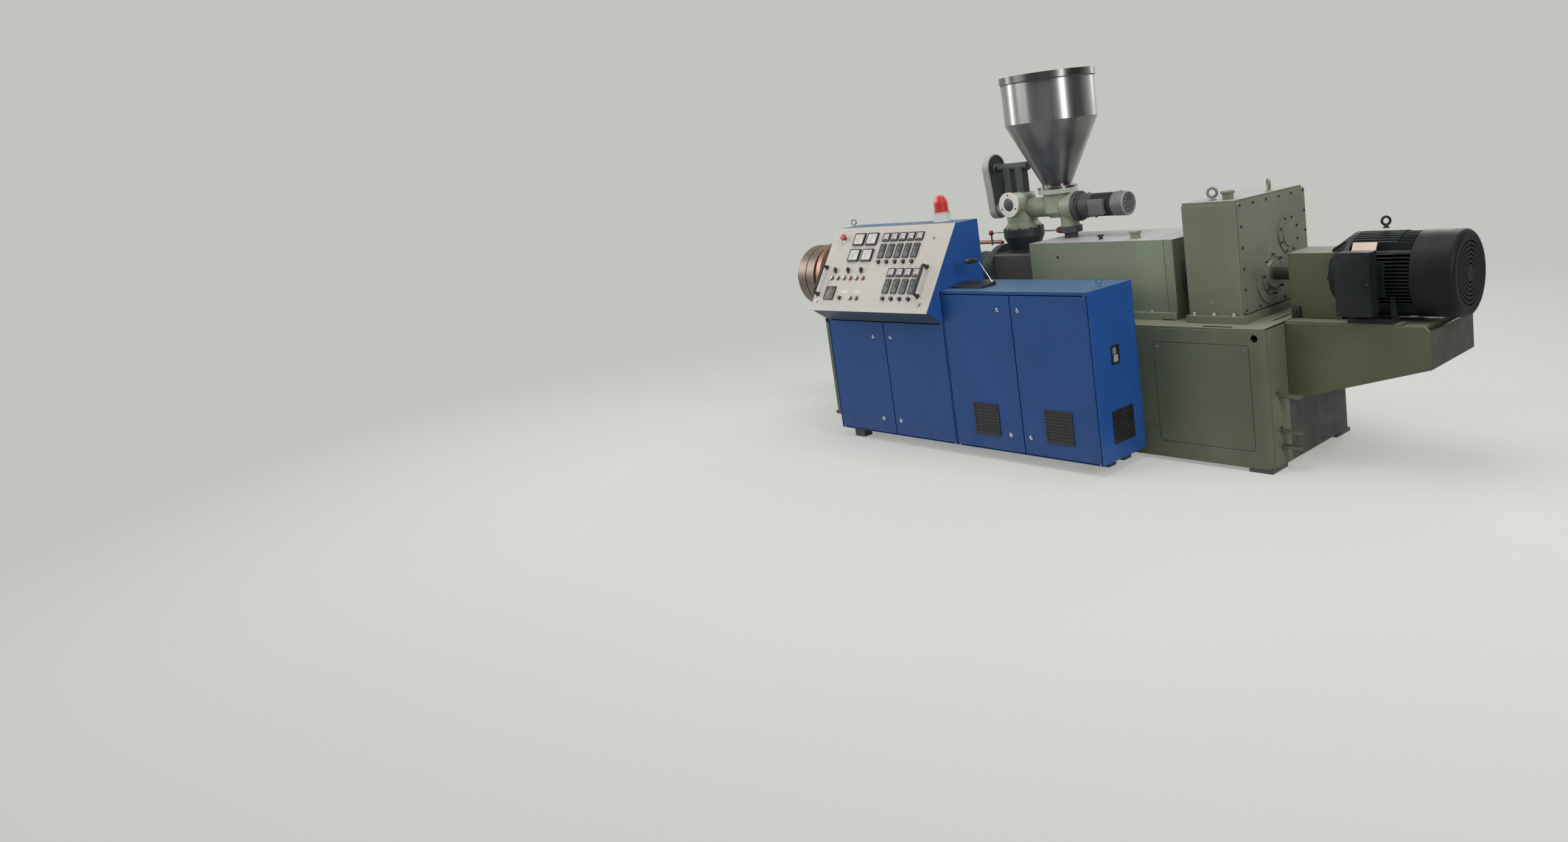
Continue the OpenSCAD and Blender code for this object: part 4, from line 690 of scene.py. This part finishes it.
for x in VOLT_X:
    for y in VOLT_Y:
        framed(x, y, *METER)
        dials.box((x - 45, y - 36.5, 15.5), (x + 45, y + 36.5, 16.6))
        pivot = (x + 33, y - 26)
        scale(ink, pivot, 50, 98, 172, 16, 4.0, 16.6)
        a = radians(165 if y > 500 else 150)
        ink.strip(pivot, (pivot[0] + 48 * cos(a), pivot[1] + 48 * sin(a)), 1.2, 17.0, 17.5)
        covers.prism([(x + 45, y - 36.5), (x + 45, y - 2), (x + 26, y - 6), (x + 4, y - 36.5)],
                     16.6, 17.8, "xy")
for row_x, amp_y, ctl_y, knob_y in ROWS:
    for x in row_x:
        framed(x, amp_y, *AMMETER)
        framed(x, ctl_y, *CONTROLLER)
        small.box((x - 27.5, amp_y - 24.5, 11.5), (x + 27.5, amp_y + 24.5, 12.5))
        scale(ink, (x, amp_y - 16), 27, 45, 135, 11, 3.0, 12.5)
        ink.strip((x, amp_y - 16), (x - 17, amp_y + 8), 1.1, 12.8, 13.3)
        ink.box((x - 20, amp_y - 23, 12.5), (x + 20, amp_y - 15, 13.6), 0.5)
        faces.box((x - 22.5, ctl_y - 46, 10.5), (x + 22.5, ctl_y + 46, 11.7), 0.6)
        windows.box((x - 16, ctl_y + 12, 11.7), (x + 16, ctl_y + 38, 12.2), 0.3)
        windows.box((x - 16, ctl_y - 14, 11.7), (x + 16, ctl_y + 8, 12.2), 0.3)
        for i in range(4):
            keys.box((x - 17 + 9 * i, ctl_y - 35, 11.7), (x - 10 + 9 * i, ctl_y - 26, 13.0), 0.6)
        knob_marks(x, knob_y, 11.5, 3.2)
for i, x in enumerate(PUSH_X):
    button(x, PUSH_Y, red_caps if i % 2 else green_caps, PUSH_CAP)
for x, kit in zip(LAMP_X, (green_caps, red_caps)):
    button(x, LAMP_Y, kit, LAMP_CAP)
knob_marks(*MODE_KNOB, 11, 3.6)
for x in SWITCH_X:
    metal.turn((x, SWITCH_Y, FACE), UP, [(9, 0), (16.5, 0), (16.5, 3.0), (14, 4.6), (9, 4.6)], 6)
rings.turn((*STOP, FACE), UP, [(11, 0), (30, 0), (30, 1.6), (27, 2.4), (11, 2.4)], 32)

# Digital display with dim digits
framed(DISPLAY_X, DISPLAY_Y, *DISPLAY)
windows.box((DISPLAY_X - 43, DISPLAY_Y - 43, 11.5), (DISPLAY_X + 43, DISPLAY_Y + 43, 12.4), 0.4)
digits = panel_kit("display_digits", "screen_red", "ball_red")
for i in range(4):
    x, y, w, h = DISPLAY_X - 22 + 15 * i, DISPLAY_Y + 2, 8.5, 24
    for k in range(3):
        digits.strip((x, y + k * h / 2), (x + w, y + k * h / 2), 2.4, 12.4, 12.8)
    for u in (x, x + w):
        digits.strip((u, y), (u, y + h), 2.4, 12.4, 12.8)
for i in range(4):
    x = DISPLAY_X - 34 + 18 * i
    keys.box((x, DISPLAY_Y - 34, 12.4), (x + 12, DISPLAY_Y - 24, 13.6), 0.8)

# Blank label plates, border line, seam, locks and plug
for x in LABEL_X:
    covers.box((x - 31, LABEL_Y[0], FACE - 0.5), (x + 31, LABEL_Y[1], FACE + 0.9), 0.4)
for a, b in zip(BORDER, BORDER[1:] + BORDER[:1]):
    lines.strip(a, b, 2.4, FACE, FACE + 0.25)
lines.strip((52, 330), (1104, 326), 2.8, FACE, FACE + 0.25)
metal.turn((*PLUG_AT, FACE - 0.5), UP, [(0, 0), (13, 0), (13, 4), (11, 6), (0, 6)], 24)
for x, y, top in ((*PLUG_AT, FACE + 5.5), (*KEYHOLE_AT, FACE + 10)):
    ink.box((x - 2, y - 7, top - 0.5), (x + 2, y + 7, top + 0.4))
metal.turn((*BUTTON_AT, FACE), UP, [(0, 0), (9, 0), (9, 3), (6, 6), (0, 6.6)], 20)
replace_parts(frames.done(), "panel_meters")
for kit in (bezels, dials, covers, ink, small, faces, windows, keys, rings, red_caps, green_caps, lines,
            metal, digits):
    kit.done()

# Grab handles
grabs = panel_kit("handle_bars", "grip", "black_plastic")
for x, y in HANDLES:
    grabs.sweep([(x, y + up, out) for up, out in HANDLE_BAR], 10.5, 14)
    for end in (-102, 102):
        grabs.turn((x, y + end, FACE - 0.5), UP, [(0, 0), (17, 0), (17, 4), (11, 8), (0, 8)], 20)
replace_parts(grabs.done(), "grab_handles")
flat = PANEL.inverted()
dress("panel_knobs", ("black", "stop_red", "bolt"),
      lambda p, n: 2 if p[0] > 1050 and p[2] < 1020 else
      (flat @ Vector(p)).z > 22.5 and p[0] < 160 and p[2] > 1350)

# Eyes, beacon, hand lever
FACING_US, FACING_END = (0.6, -0.8, 0), (0.75, 0.66, 0)


def eye(kit, foot, big, bar, axis):
    """Lifting eye on its collar."""
    x, y, z = foot
    kit.turn(foot, UP, [(0, 0), (big * 0.62, 0), (big * 0.62, 4), (big * 0.34, 9), (big * 0.3, 14),
                        (0, 14)], 20)
    return kit.ring((x, y, z + 10 + big), axis, big - bar, bar, 32, 12)


eye(Kit("lifting_eyes", "bolt", "bare_steel"), (45, 320, 1470), 22, 5.0, FACING_US).done()
eye(Kit("low_cabinet_eye", "blue_top_painted_light", "bare_steel"), (2255, 205, 1070), 20, 3.6, FACING_US).done()
gear_eyes = Kit("gearbox_eyes", "cap_dark", "bare_steel")
eye(gear_eyes, (2750, 650, 1477), 33, 8.0, FACING_US)
eye(gear_eyes, (2890, 1015, 1477), 33, 8.0, FACING_END).done()
eye(Kit("motor_eye", "motor", "motor_black"), (3607, AXIS_Y, 1262), 27, 6.5, FACING_US).done()

BEACON = (905, 359)
BEACON_GLASS = 1531
dress("beacon", ("white", "red"), lambda p, n: p[2] > BEACON_GLASS)
studs = Kit("beacon_studs", "chrome", "bare_steel")
for u, v in circle(BEACON, 55, 6, 20):
    studs.ball((u, v, 1478), 4.5, 12)
studs.done()
seal = Kit("beacon_seal", "ring_grey", "panel_grey")
seal.turn((*BEACON, 1526), UP, [(50, 0), (56, 0), (56, 6), (50, 6)], 40)
seal.turn((*BEACON, 1470), UP, [(50, 0), (60, 0), (60, 5), (54, 8), (50, 8)], 40).done()

# Hand lever: wedge plate, thin bent rod and a handle that points at the operator
plate = Kit("lever_plate", "black", "black_plastic")
plate.prism([(90, 1069.5), (230, 1069.5), (230, 1096), (90, 1080)], 1180, 1440)
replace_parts(plate.done(bevel=1.5), "hand_lever")
rod = Kit("lever_rod", "chrome", "bare_steel")
rod.turn((1424, 213, 1091), (0, 0.11, 1), [(0, 0), (9, 0), (9, 4), (6, 7), (0, 7)], 20)
rod.sweep([(1424, 213, 1092), (1310, 234, 1215), (1302, 231, 1225), (1299, 218, 1228)], 2.5, 12).done()
Kit("lever_handle", "black", "black_plastic").turn((1300, 236, 1226), (-5, -108, 7), [
    (0, 0), (7, 0), (10, 4), (14, 24), (18, 56), (19, 84), (17, 100), (11, 109), (0, 111)], 24).done()

# Door locks, which ride on their doors, and the latch cup's insides
DESK_LOCKS, LOW_LOCKS = (750, 172), (957, 179)
for door, x, heights in ((1, 466, DESK_LOCKS), (2, 641, DESK_LOCKS),
                         (3, 1636, LOW_LOCKS), (4, 1796, LOW_LOCKS)):
    body = "door_%d_leaf" % door
    lock = Kit("door_%d_locks" % door, "chrome", "bare_steel", body=body)
    slot = Kit("door_%d_keyholes" % door, "ink", "black_plastic", body=body)
    for z in heights:
        lock.turn((x, 0.5, z), OUT, [(0, 0), (13, 0), (13, 2.4), (10.5, 4.5), (9, 6.4), (0, 6.6)], 26)
        slot.box((x - 5.5, -6.7, z - 1.5), (x + 5.5, -5.9, z + 1.5))
    lock.done()
    slot.done()
Kit("latch_plate", "teal", "dark_green").box((2320.5, 177, 680), (2322.5, 214, 719), 0.5).done()
flap = Kit("latch_flap", "grey", "bare_steel")
flap.prism([(180, 634), (222, 633), (224, 672), (188, 676)], 2321.0, 2326.5).done(bevel=0.8)
grip = Kit("latch_grip", "black", "black_plastic")
grip.turn((2321.5, 224, 664), (0.6, 0.3, -0.4), [(0, 0), (7, 0), (7, 7), (5, 9), (0, 9)], 18).done()

# Bolts of the base
base_bolts = Kit("base_bolts", "bolt_dark", "dark_grey")
for y, z in ((519, 434), (538, 235)):
    base_bolts.bolt((3130, y, z), ALONG_X, 8, 7)
# Thin black strips in the gaps under the ledges: painted shadow
gap_shadows = Kit("ledge_gap_painted_shadows", "ink", "dark_grey")
for lo, hi in ((2150, 2202), (2400, 2480)):
    gap_shadows.box((lo, 583.2, 800.4), (hi, 584.2, 806.5))
gap_shadows.done()
COVER_Y = [side[1] for side in mm_box("base_covers")]
COVER_X, COVER_PITCH, COVER_COUNT = 2430, 700, 5
cover_bolts = Kit("cover_bolts", "bolt_green", "dark_green")
for i in range(COVER_COUNT):
    for x in (28, 577):
        for z in (148, 680):
            for y, way in zip(COVER_Y, (-1, 1)):
                cover_bolts.bolt((COVER_X - COVER_PITCH * i + x, y, z), (0, way, 0), 7, 5)

# Bolts of the gearbox's end plate, bearing covers and foot
END_X, END_Y, END_Z = 2945, 592, 1446
plate_bolts = Kit("end_plate_bolts", "bolt_dark", "dark_green")
for i in range(6):
    for z in (END_Z, 868):
        plate_bolts.socket_bolt((END_X, END_Y + 141.5 * i, z), ALONG_X, 7.5, 6)
for i in range(1, 5):
    for y in (END_Y, 1299.5):
        plate_bolts.socket_bolt((END_X, y, END_Z - 116 * i), ALONG_X, 7.5, 6)
for y, z in circle((1095, 1220), 99, 8, 22.5):
    plate_bolts.socket_bolt((END_X + 8, y, z), ALONG_X, 7.5, 6)
for y, z in circle((AXIS_Y, SHAFT_Z), 111, 8):
    plate_bolts.socket_bolt((2959, y, z), ALONG_X, 6.5, 15)
plate_bolts.done()
foot_bolts = Kit("foot_bolts", "bolt_pale", "bare_steel")
for x in (2640, 2766, 2890):
    foot_bolts.bolt((x, 547, 842), UP, 9.5, 16)
for x in range(1480, 2440, 210):
    for y in (597, 1163):
        foot_bolts.bolt((x, y, 842), UP, 8.5, 10)
foot_bolts.disc((2749, 560, 914), OUT, 5, 3).done()
clamp = Kit("guard_clamp", "bolt_dark", "dark_grey").box((3128, 744, 800), (3172, 759, 866), 3)
clamp.bolt((3150, 744, 838), OUT, 8, 7).done()
base_bolts.done()
cover_bolts.done()
Kit("distribution_seam", "seam", "dark_green").box((2329, 612, 1269.8), (2331.6, 1148, 1270.6)).done()

# Motor's bare plate, its cable box, narrower than the CAD's, and the coupling's guard, longer than it
bare = Kit("motor_bare_plate", "bare_copper", "bare_steel")
bare.prism([(682, 1150), (688, 1145), (730, 1206), (724, 1211)], 3500, 3626)
bare.prism([(672, 1136), (678, 1131), (690, 1148), (684, 1153)], 3596, 3630).done(bevel=1.0)
(x0, y0, z0), (x1, y1, z1) = mm_box("cable_box")
box = Kit("terminal_box", "motor", "motor_black")
box.box((x0 + 19, y0 + 23, z0 + 5), (x1 - 43, y1, z1 - 5), 4)
box.box((x0 + 14, y0, z0), (x1 - 38, y0 + 20, z1), 6)
box.box((x0 + 16, y0 + 19, z0 + 2), (x1 - 40, y0 + 24, z1 - 2))
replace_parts(box.done(), "cable_box")
screws = Kit("cable_box_screws", "bolt_dark", "dark_grey")
for x in (x0 + 28, x1 - 52):
    for z in (872, 1020, 1168):
        screws.socket_bolt((x, y0, z), OUT, 6, 5)
screws.done()
LONGER, SHEET = 72, 3
(x0, y0, z0), (x1, y1, z1) = mm_box("coupling_guard")
cover = Kit("coupling_cover", "bracket", "dark_green")
cover.prism([(y0, z0), (y0, z1), (y1, z1), (y1, z0), (y1 - SHEET, z0), (y1 - SHEET, z1 - SHEET),
             (y0 + SHEET, z1 - SHEET), (y0 + SHEET, z0)], x0, x1 + LONGER)
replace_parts(cover.done(bevel=1.0), "coupling_guard")
# The guard's top painted paler: painted light on its top
top = Kit("coupling_cover_painted_light_top", "guard_top_painted_light", "dark_green")
top.box((x0 + 1.5, y0 + 1.5, z1 - 0.4), (x1 + LONGER - 1.5, y1 - 1.5, z1 + 0.5)).done()

# Feeder: port bolts and disc, seat and collar bolts, gate rod's balls and post
PORT, HOPPER, COLLAR = (1173, 1518), (1475, 880), (1145, 880)
holes = Kit("port_bolts", "ink", "dark_grey")
for angle in (88, 205, 335):
    (x, z), = circle(PORT, 63, 1, angle)
    holes.socket_bolt((x, 720.4, z), OUT, 5.5, 3.0)
holes.done()
glass = Kit("port_glass", "lens", "dark_grey")
glass.turn((PORT[0], 726, PORT[1]), OUT, [(0, 0), (43, 0), (43, 3.2), (39, 4.6), (0, 5.2)], 36).done()
seat_bolts = Kit("seat_bolts", "bolt_dark", "dark_grey")
for x, y in circle(HOPPER, 117, 8, 3):
    seat_bolts.bolt((x, y, 1594), UP, 6.5, 7)
seat_bolts.done()
collar_bolts = Kit("collar_bolts", "iron", "dark_grey")
for x, y in circle(COLLAR, 126, 10, 9):
    collar_bolts.bolt((x, y, 1345), UP, 8, 9)
    collar_bolts.bolt((x, y, 1293), (0, 0, -1), 8, 9)
collar_bolts.done()
GATE_Z, BALLS, BALL_R, ROD_R = 1319, (842, 1448), 21, 8
dress("slide_gate_rod", ("steel", "red"), lambda p, n: (
    min(abs(p[0] - x) for x in BALLS) < BALL_R and abs(p[1] - AXIS_Y) + abs(p[2] - GATE_Z) > ROD_R))
post = Kit("gate_post", "bolt", "bare_steel")
post.sweep([(842, AXIS_Y, 1302), (842, AXIS_Y, 1290), (841, AXIS_Y, 1232)], 6.5).done()
GUARD_FACE_X = 959
dress("belt_guard", ("guard_rim", "belt_face"), lambda p, n: n.x > 0.5 and p[0] < GUARD_FACE_X)

# Gearmotor on the feeder: flange, gear case, finned barrel, terminal box, fan cowl and its guard
GM_X, GM_Z = mm_box("feeder_gearmotor")[0][0], 1471
GM_AXIS = (AXIS_Y, GM_Z)
FIN_IN, FIN_OUT, FIN = 58, 74, 1.6
gearmotor = Kit("gearmotor_body", "mottled", "dark_grey")
gearmotor.turn((GM_X, *GM_AXIS), ALONG_X, [
    (0, 0), (97, 0), (97, 25), (94, 28), (75, 30), (70, 34), (70, 56), (80, 58), (81, 68), (77, 71),
    (75, 126), (70, 132), (66, 134), (66, 314), (0, 314)], 48)
for i in range(36):
    a = radians(10 * i)
    gearmotor.prism([(AXIS_Y + r * cos(a) - s * sin(a), GM_Z + r * sin(a) + s * cos(a))
                     for r, s in ((FIN_IN, -FIN), (FIN_OUT, -FIN), (FIN_OUT, FIN), (FIN_IN, FIN))],
                    GM_X + 130, GM_X + 312)
for y, z in circle(GM_AXIS, 86, 6, 20):
    gearmotor.bolt((GM_X + 29, y, z), ALONG_X, 6.5, 7)
gearmotor.bolt((GM_X + 100, AXIS_Y, GM_Z + 74), UP, 6, 8)
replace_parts(gearmotor.done(), "feeder_gearmotor")
drive_box = Kit("gearmotor_box", "drive_box", "dark_grey")
drive_box.box((GM_X + 151, 796, GM_Z - 54), (GM_X + 255, 838, GM_Z + 38), 5)
drive_box.box((GM_X + 146, 784, GM_Z - 59), (GM_X + 260, 797, GM_Z + 43), 4)
drive_box.turn((GM_X + 185, 817, GM_Z - 53), (0, 0, -1),
               [(0, 0), (12, 0), (12, 8), (9, 10), (9, 20), (5, 22), (0, 22)], 20).done()
cowl = Kit("gearmotor_cowl", "drive_cowl", "gear_grey")
cowl.turn((GM_X + 300, *GM_AXIS), ALONG_X,
          [(60, 0), (74, 0), (76, 2), (76, 86), (75, 89), (60, 89), (60, 0)], 48)
cowl.bolt((GM_X + 340, AXIS_Y, GM_Z + 75.5), UP, 5, 6).done()
rim = Kit("gearmotor_cowl_rim", "drive_rim", "gear_grey")
rim.turn((GM_X + 388, *GM_AXIS), ALONG_X,
         [(64, -2), (76, -2), (76.4, 1), (75, 5), (71, 7.5), (66, 7.5), (64, 5), (64, -2)], 48)
Kit("gearmotor_fan_face", "fan_end", "dark_grey").disc((GM_X + 382, *GM_AXIS), ALONG_X, 65, 5, 40).done()
for k in range(9):
    spiral = [(8 + 8.2 * j, radians(40 * k + 9 * j)) for j in range(8)]
    rim.sweep([(GM_X + 390, AXIS_Y + r * cos(a), GM_Z + r * sin(a)) for r, a in spiral], 2.0, 6)
for r in (9, 36, 52):
    rim.ring((GM_X + 390, *GM_AXIS), ALONG_X, r, 2.0, 36, 6)
rim.done()

# Filler caps of the gear housings and the vent plug
(DIST_X0, _, _), (DIST_X1, _, DIST_TOP) = mm_box("distribution_box")
GEAR_TOP = mm_box("gearbox_housing")[1][2]
CUP = [(0, -1), (30, -1), (31, 30), (38, 33), (39.5, 38), (39.5, 45), (37, 48), (0, 48)]
PLUG = [(0, -1), (13, -1), (13, 12), (10, 15), (21, 18), (24, 22), (23, 27), (18, 30), (0, 30)]


def along_box(share):
    return (DIST_X0 + share * (DIST_X1 - DIST_X0) - 90, 720, DIST_TOP)


cap_far = Kit("filler_cap_pale", "cap_pale", "dark_green").turn(along_box(0.78), UP, CUP, 32)
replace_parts(cap_far.done(), "oil_fittings")
Kit("filler_cap_dark", "cap_dark", "dark_green").turn((2840, 660, GEAR_TOP), UP, CUP, 32).done()
Kit("vent_plug", "bolt_dark", "dark_grey").turn(along_box(0.54), UP, PLUG, 28).done()

# Hopper's rim with its painted shadow line, feeder's worn seat, block's collar and the cabinet's end painted
# brighter as painted light
RIM_Z, SEAT_Z, COLLAR_Z = 2284, (1560, 1600), 1185
dress("hopper_cylinder", ("hopper", "hopper_rim"), lambda p, n: p[2] > RIM_Z)
# A dark ring under the rim band: a painted shadow of the rim
rim_shadow = Kit("hopper_rim_painted_shadow", "seam", "stainless")
rim_shadow.turn((*HOPPER, 2281), UP, [(299, 0), (301.2, 0), (301.2, 5), (299, 5)], 64).done()
dress("feeder_casting", ("casting", "casting_pale"),
      lambda p, n: SEAT_Z[0] < p[2] < SEAT_Z[1] and hypot(p[0] - HOPPER[0], p[1] - HOPPER[1]) > 100)
dress("feed_block", ("block", "collar"), lambda p, n: p[2] > COLLAR_Z)
dress("cabinet_sides", ("blue", "blue_side_painted_light"), lambda p, n: n.x > 0.5)

# Strip of the base's motor end painted lighter beside the bracket, as painted light; the rest of the end is
# painted shade where the bracket shades it
BASE_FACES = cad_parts["base_frame"].data.polygons
END_FACE = max((p for p in BASE_FACES if p.normal.x > 0.95), key=lambda p: p.area)
END_AT, BASE_Y0 = mm(END_FACE.center)[0], mm_box("base_frame")[0][1]
strip = Kit("painted_light_strip", "painted_light_green", "dark_green")
strip.box((END_AT - 1, BASE_Y0 + 37, 26), (END_AT + 1.2, BASE_Y0 + 224, 791), 0.5).done()


# Tops painted paler where light and sheen fall on them, as painted light with a little dust, the motor end
# painted dark as painted shade, and the base's top slots painted black as painted shade
def top_painted_light(low):
    return lambda p, n: n.z > 0.6 and p[2] > low


def painted_shade_and_top_light(low, slot_floor=None, slot_walls=()):
    def choose(p, n):
        z = round(p[2], 1)
        # Slot floors and walls painted black: painted shade in the slots
        if n.z > 0.9 and z == slot_floor or abs(n.z) < 0.1 and z in slot_walls:
            return 3
        # Motor-end faces painted dark as painted shade, tops painted light
        return 2 if n.x > 0.3 and n.z < 0.5 and abs(n.y) < 0.2 else n.z > 0.6 and p[2] > low
    return choose


dress("motor_bracket", ("bracket", "base_top_painted_light", "painted_shade_dark_green"), painted_shade_and_top_light(780))
dress("base_frame", ("base", "base_top_painted_light", "base_motor_end_painted_shade", "ink"), painted_shade_and_top_light(795, 790.0, (793.3, 796.7)))
dress("distribution_box", ("dist", "dist_top"), top_painted_light(1265))
dress("gearbox_housing", ("gear", "gear_top_painted_light"), top_painted_light(1470))
dress("cabinet_tops", ("blue", "blue_top_painted_light"), top_painted_light(1060))

# Motor's fan cowl, which starts farther back than in the CAD, and the ends of the fins before it
COWL_X0, (COWL_X1, _, COWL_TOP) = mm_box("fan_cowl")[0][0], mm_box("fan_cowl")[1]
R, LONG, LATE = COWL_TOP - SHAFT_Z, COWL_X1 - COWL_X0, 84
hood = Kit("fan_hood", "cowl", "motor_black")
hood.turn((COWL_X0, AXIS_Y, SHAFT_Z), ALONG_X, [
    (R - 6, LATE + 2), (R - 2, LATE), (R, LATE + 2), (R, LONG - 26), (R - 2, LONG - 17), (R - 8, LONG - 8),
    (R - 17, LONG - 2), (R - 26, LONG), (R - 34, LONG), (R - 34, LATE + 2), (R - 6, LATE + 2)], 72)
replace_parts(hood.done(), "fan_cowl")
hood_end = Kit("fan_hood_end", "perforated", "motor_black")
inner = 0.0
for r in [45 + 22 * i for i in range(6)] + [R - 32]:
    hood_end.turn((COWL_X1 - 6, AXIS_Y, SHAFT_Z), ALONG_X,
                  [(inner, 0), (r, 0), (r, 4.5), (inner, 4.5), (inner, 0)], 64)
    inner = r + 7
for i in range(4):
    a = radians(45 + 90 * i)
    hood_end.sweep([(COWL_X1 - 4.5, AXIS_Y + r * cos(a), SHAFT_Z + r * sin(a)) for r in (30, R - 30)], 2.5, 6)
hood_end.disc((COWL_X1 - 16, AXIS_Y, SHAFT_Z), ALONG_X, R - 30, 4, 64).done()
CORE_R, FIN_R, FIN_PITCH, HALF_FIN = 188, 222, 18, 2.5
ribs = Kit("motor_ribs_rear", "motor", "motor_black")
ribs.disc((COWL_X0 - 1, AXIS_Y, SHAFT_Z), ALONG_X, CORE_R, LATE + 20, 64)
for off in range(-7 * FIN_PITCH, 8 * FIN_PITCH, FIN_PITCH):
    reach = sqrt(FIN_R ** 2 - off ** 2) - 4
    for y, z, wide, high in ((AXIS_Y, SHAFT_Z + off, reach, HALF_FIN),
                             (AXIS_Y + off, SHAFT_Z, HALF_FIN, reach)):
        ribs.box((COWL_X0 - 1, y - wide, z - high), (COWL_X0 + LATE + 20, y + wide, z + high))
ribs.done()

# Floor, backdrop and light
BACKDROP = (0.545, 0.552, 0.520)
FLOOR_SEEN = (0.620, 0.628, 0.600)
FLOOR_LIT = (0.485, 0.495, 0.475)
DIM_ROOM = (0.030, 0.030, 0.032)
ROOM_LIGHT, ROOM_STRENGTH = (0.94, 0.96, 0.96), 0.55
FADE_FROM, FADE_TO = 3.0, 7.0


def shown_rays(tree):
    """1 for the rays that show the background: from the camera, in reflections and through glass."""
    paths = tree.nodes.new("ShaderNodeLightPath").outputs
    most = sums(tree, "MAXIMUM", paths["Is Camera Ray"], paths["Is Glossy Ray"])
    return sums(tree, "MAXIMUM", most, paths["Is Transmission Ray"])


def mixed(tree, factor, first, second):
    made = tree.nodes.new("ShaderNodeMixShader")
    for source, socket in zip((factor, first, second), made.inputs):
        join(source, socket)
    return made.outputs[0]


def shone(tree, kind, colour, strength=1.0):
    """An emission or background shader, its colour a value or a socket."""
    made = tree.nodes.new(kind)
    put(made, {"Strength": strength})
    if isinstance(colour, tuple):
        made.inputs[0].default_value = (*colour, 1)
    else:
        join(colour, made.inputs[0])
    return made.outputs[0]


# The floor keeps the object's shadow and fades into the backdrop
mesh = bpy.data.meshes.new("floor")
bm = bmesh.new()
bmesh.ops.create_grid(bm, x_segments=1, y_segments=1, size=40)
bm.to_mesh(mesh)
bm.free()
floor = bpy.data.objects.new("floor", mesh)
bpy.context.scene.collection.objects.link(floor)
floor.location = (0, 0, -0.001)
tree, bsdf = blank("floor")
put(bsdf, {"Base Color": (*FLOOR_LIT, 1), "Roughness": 0.9, "Specular IOR Level": 0.1})
away = tree.nodes.new("ShaderNodeVectorMath")
away.operation = "LENGTH"
join(object_coord(tree), away.inputs[0])
near = mixed(tree, sums(tree, "MULTIPLY", shown_rays(tree), 0.5), bsdf.outputs[0],
             shone(tree, "ShaderNodeEmission", FLOOR_SEEN))
clear = tree.nodes.new("ShaderNodeBsdfTransparent").outputs[0]
out = next(n for n in tree.nodes if n.type == "OUTPUT_MATERIAL")
join(mixed(tree, remap(tree, away.outputs["Value"], FADE_FROM, FADE_TO), near, clear), out.inputs[0])
mesh.materials.append(M["floor"])

# The world shows the backdrop, with a dim room in front of the machine for its reflections
world = bpy.data.worlds.new("world")
bpy.context.scene.world = world
world.use_nodes = True
tree = world.node_tree
tree.nodes.clear()
paths = tree.nodes.new("ShaderNodeLightPath").outputs
around = split(tree, tree.nodes.new("ShaderNodeTexCoord").outputs["Generated"])
front = sums(tree, "ADD", sums(tree, "MULTIPLY", around[0], 0.74), sums(tree, "MULTIPLY", around[1], -0.67))
room = blend(tree, remap(tree, front, -0.35, 0.25), BACKDROP, DIM_ROOM)
seen = shone(tree, "ShaderNodeBackground", blend(tree, paths["Is Camera Ray"], room, BACKDROP))
lit = shone(tree, "ShaderNodeBackground", ROOM_LIGHT, ROOM_STRENGTH)
join(mixed(tree, shown_rays(tree), lit, seen), tree.nodes.new("ShaderNodeOutputWorld").inputs[0])


def lamp(name, place, target, size, size_y, power, colour=(1, 1, 1)):
    data = bpy.data.lights.new(name, "AREA")
    data.shape = "RECTANGLE"
    data.size, data.size_y = size, size_y
    data.energy = power
    data.color = colour
    made = bpy.data.objects.new(name, data)
    bpy.context.scene.collection.objects.link(made)
    made.location = place
    made.rotation_euler = (Vector(target) - Vector(place)).to_track_quat("-Z", "Y").to_euler()


lamp("top", (0.5, -0.6, 6.5), (0.3, 0.0, 0.8), 5.0, 4.0, 300, (1.0, 0.99, 0.97))
lamp("front", (-3.5, -6.0, 4.2), (0.0, 0.0, 0.8), 3.5, 3.5, 165, (1.0, 0.98, 0.95))
lamp("side", (6.6, -1.6, 3.9), (1.0, 0.0, 1.2), 1.0, 3.4, 225, (1.0, 0.99, 0.97))
lamp("back", (0.5, 6.0, 4.5), (0.0, 0.0, 0.9), 1.6, 4.2, 140)
lamp("end", (-6.5, -2.6, 3.4), (-0.5, 0.0, 1.0), 1.4, 3.2, 110)

bpy.context.scene.view_settings.view_transform = "Standard"
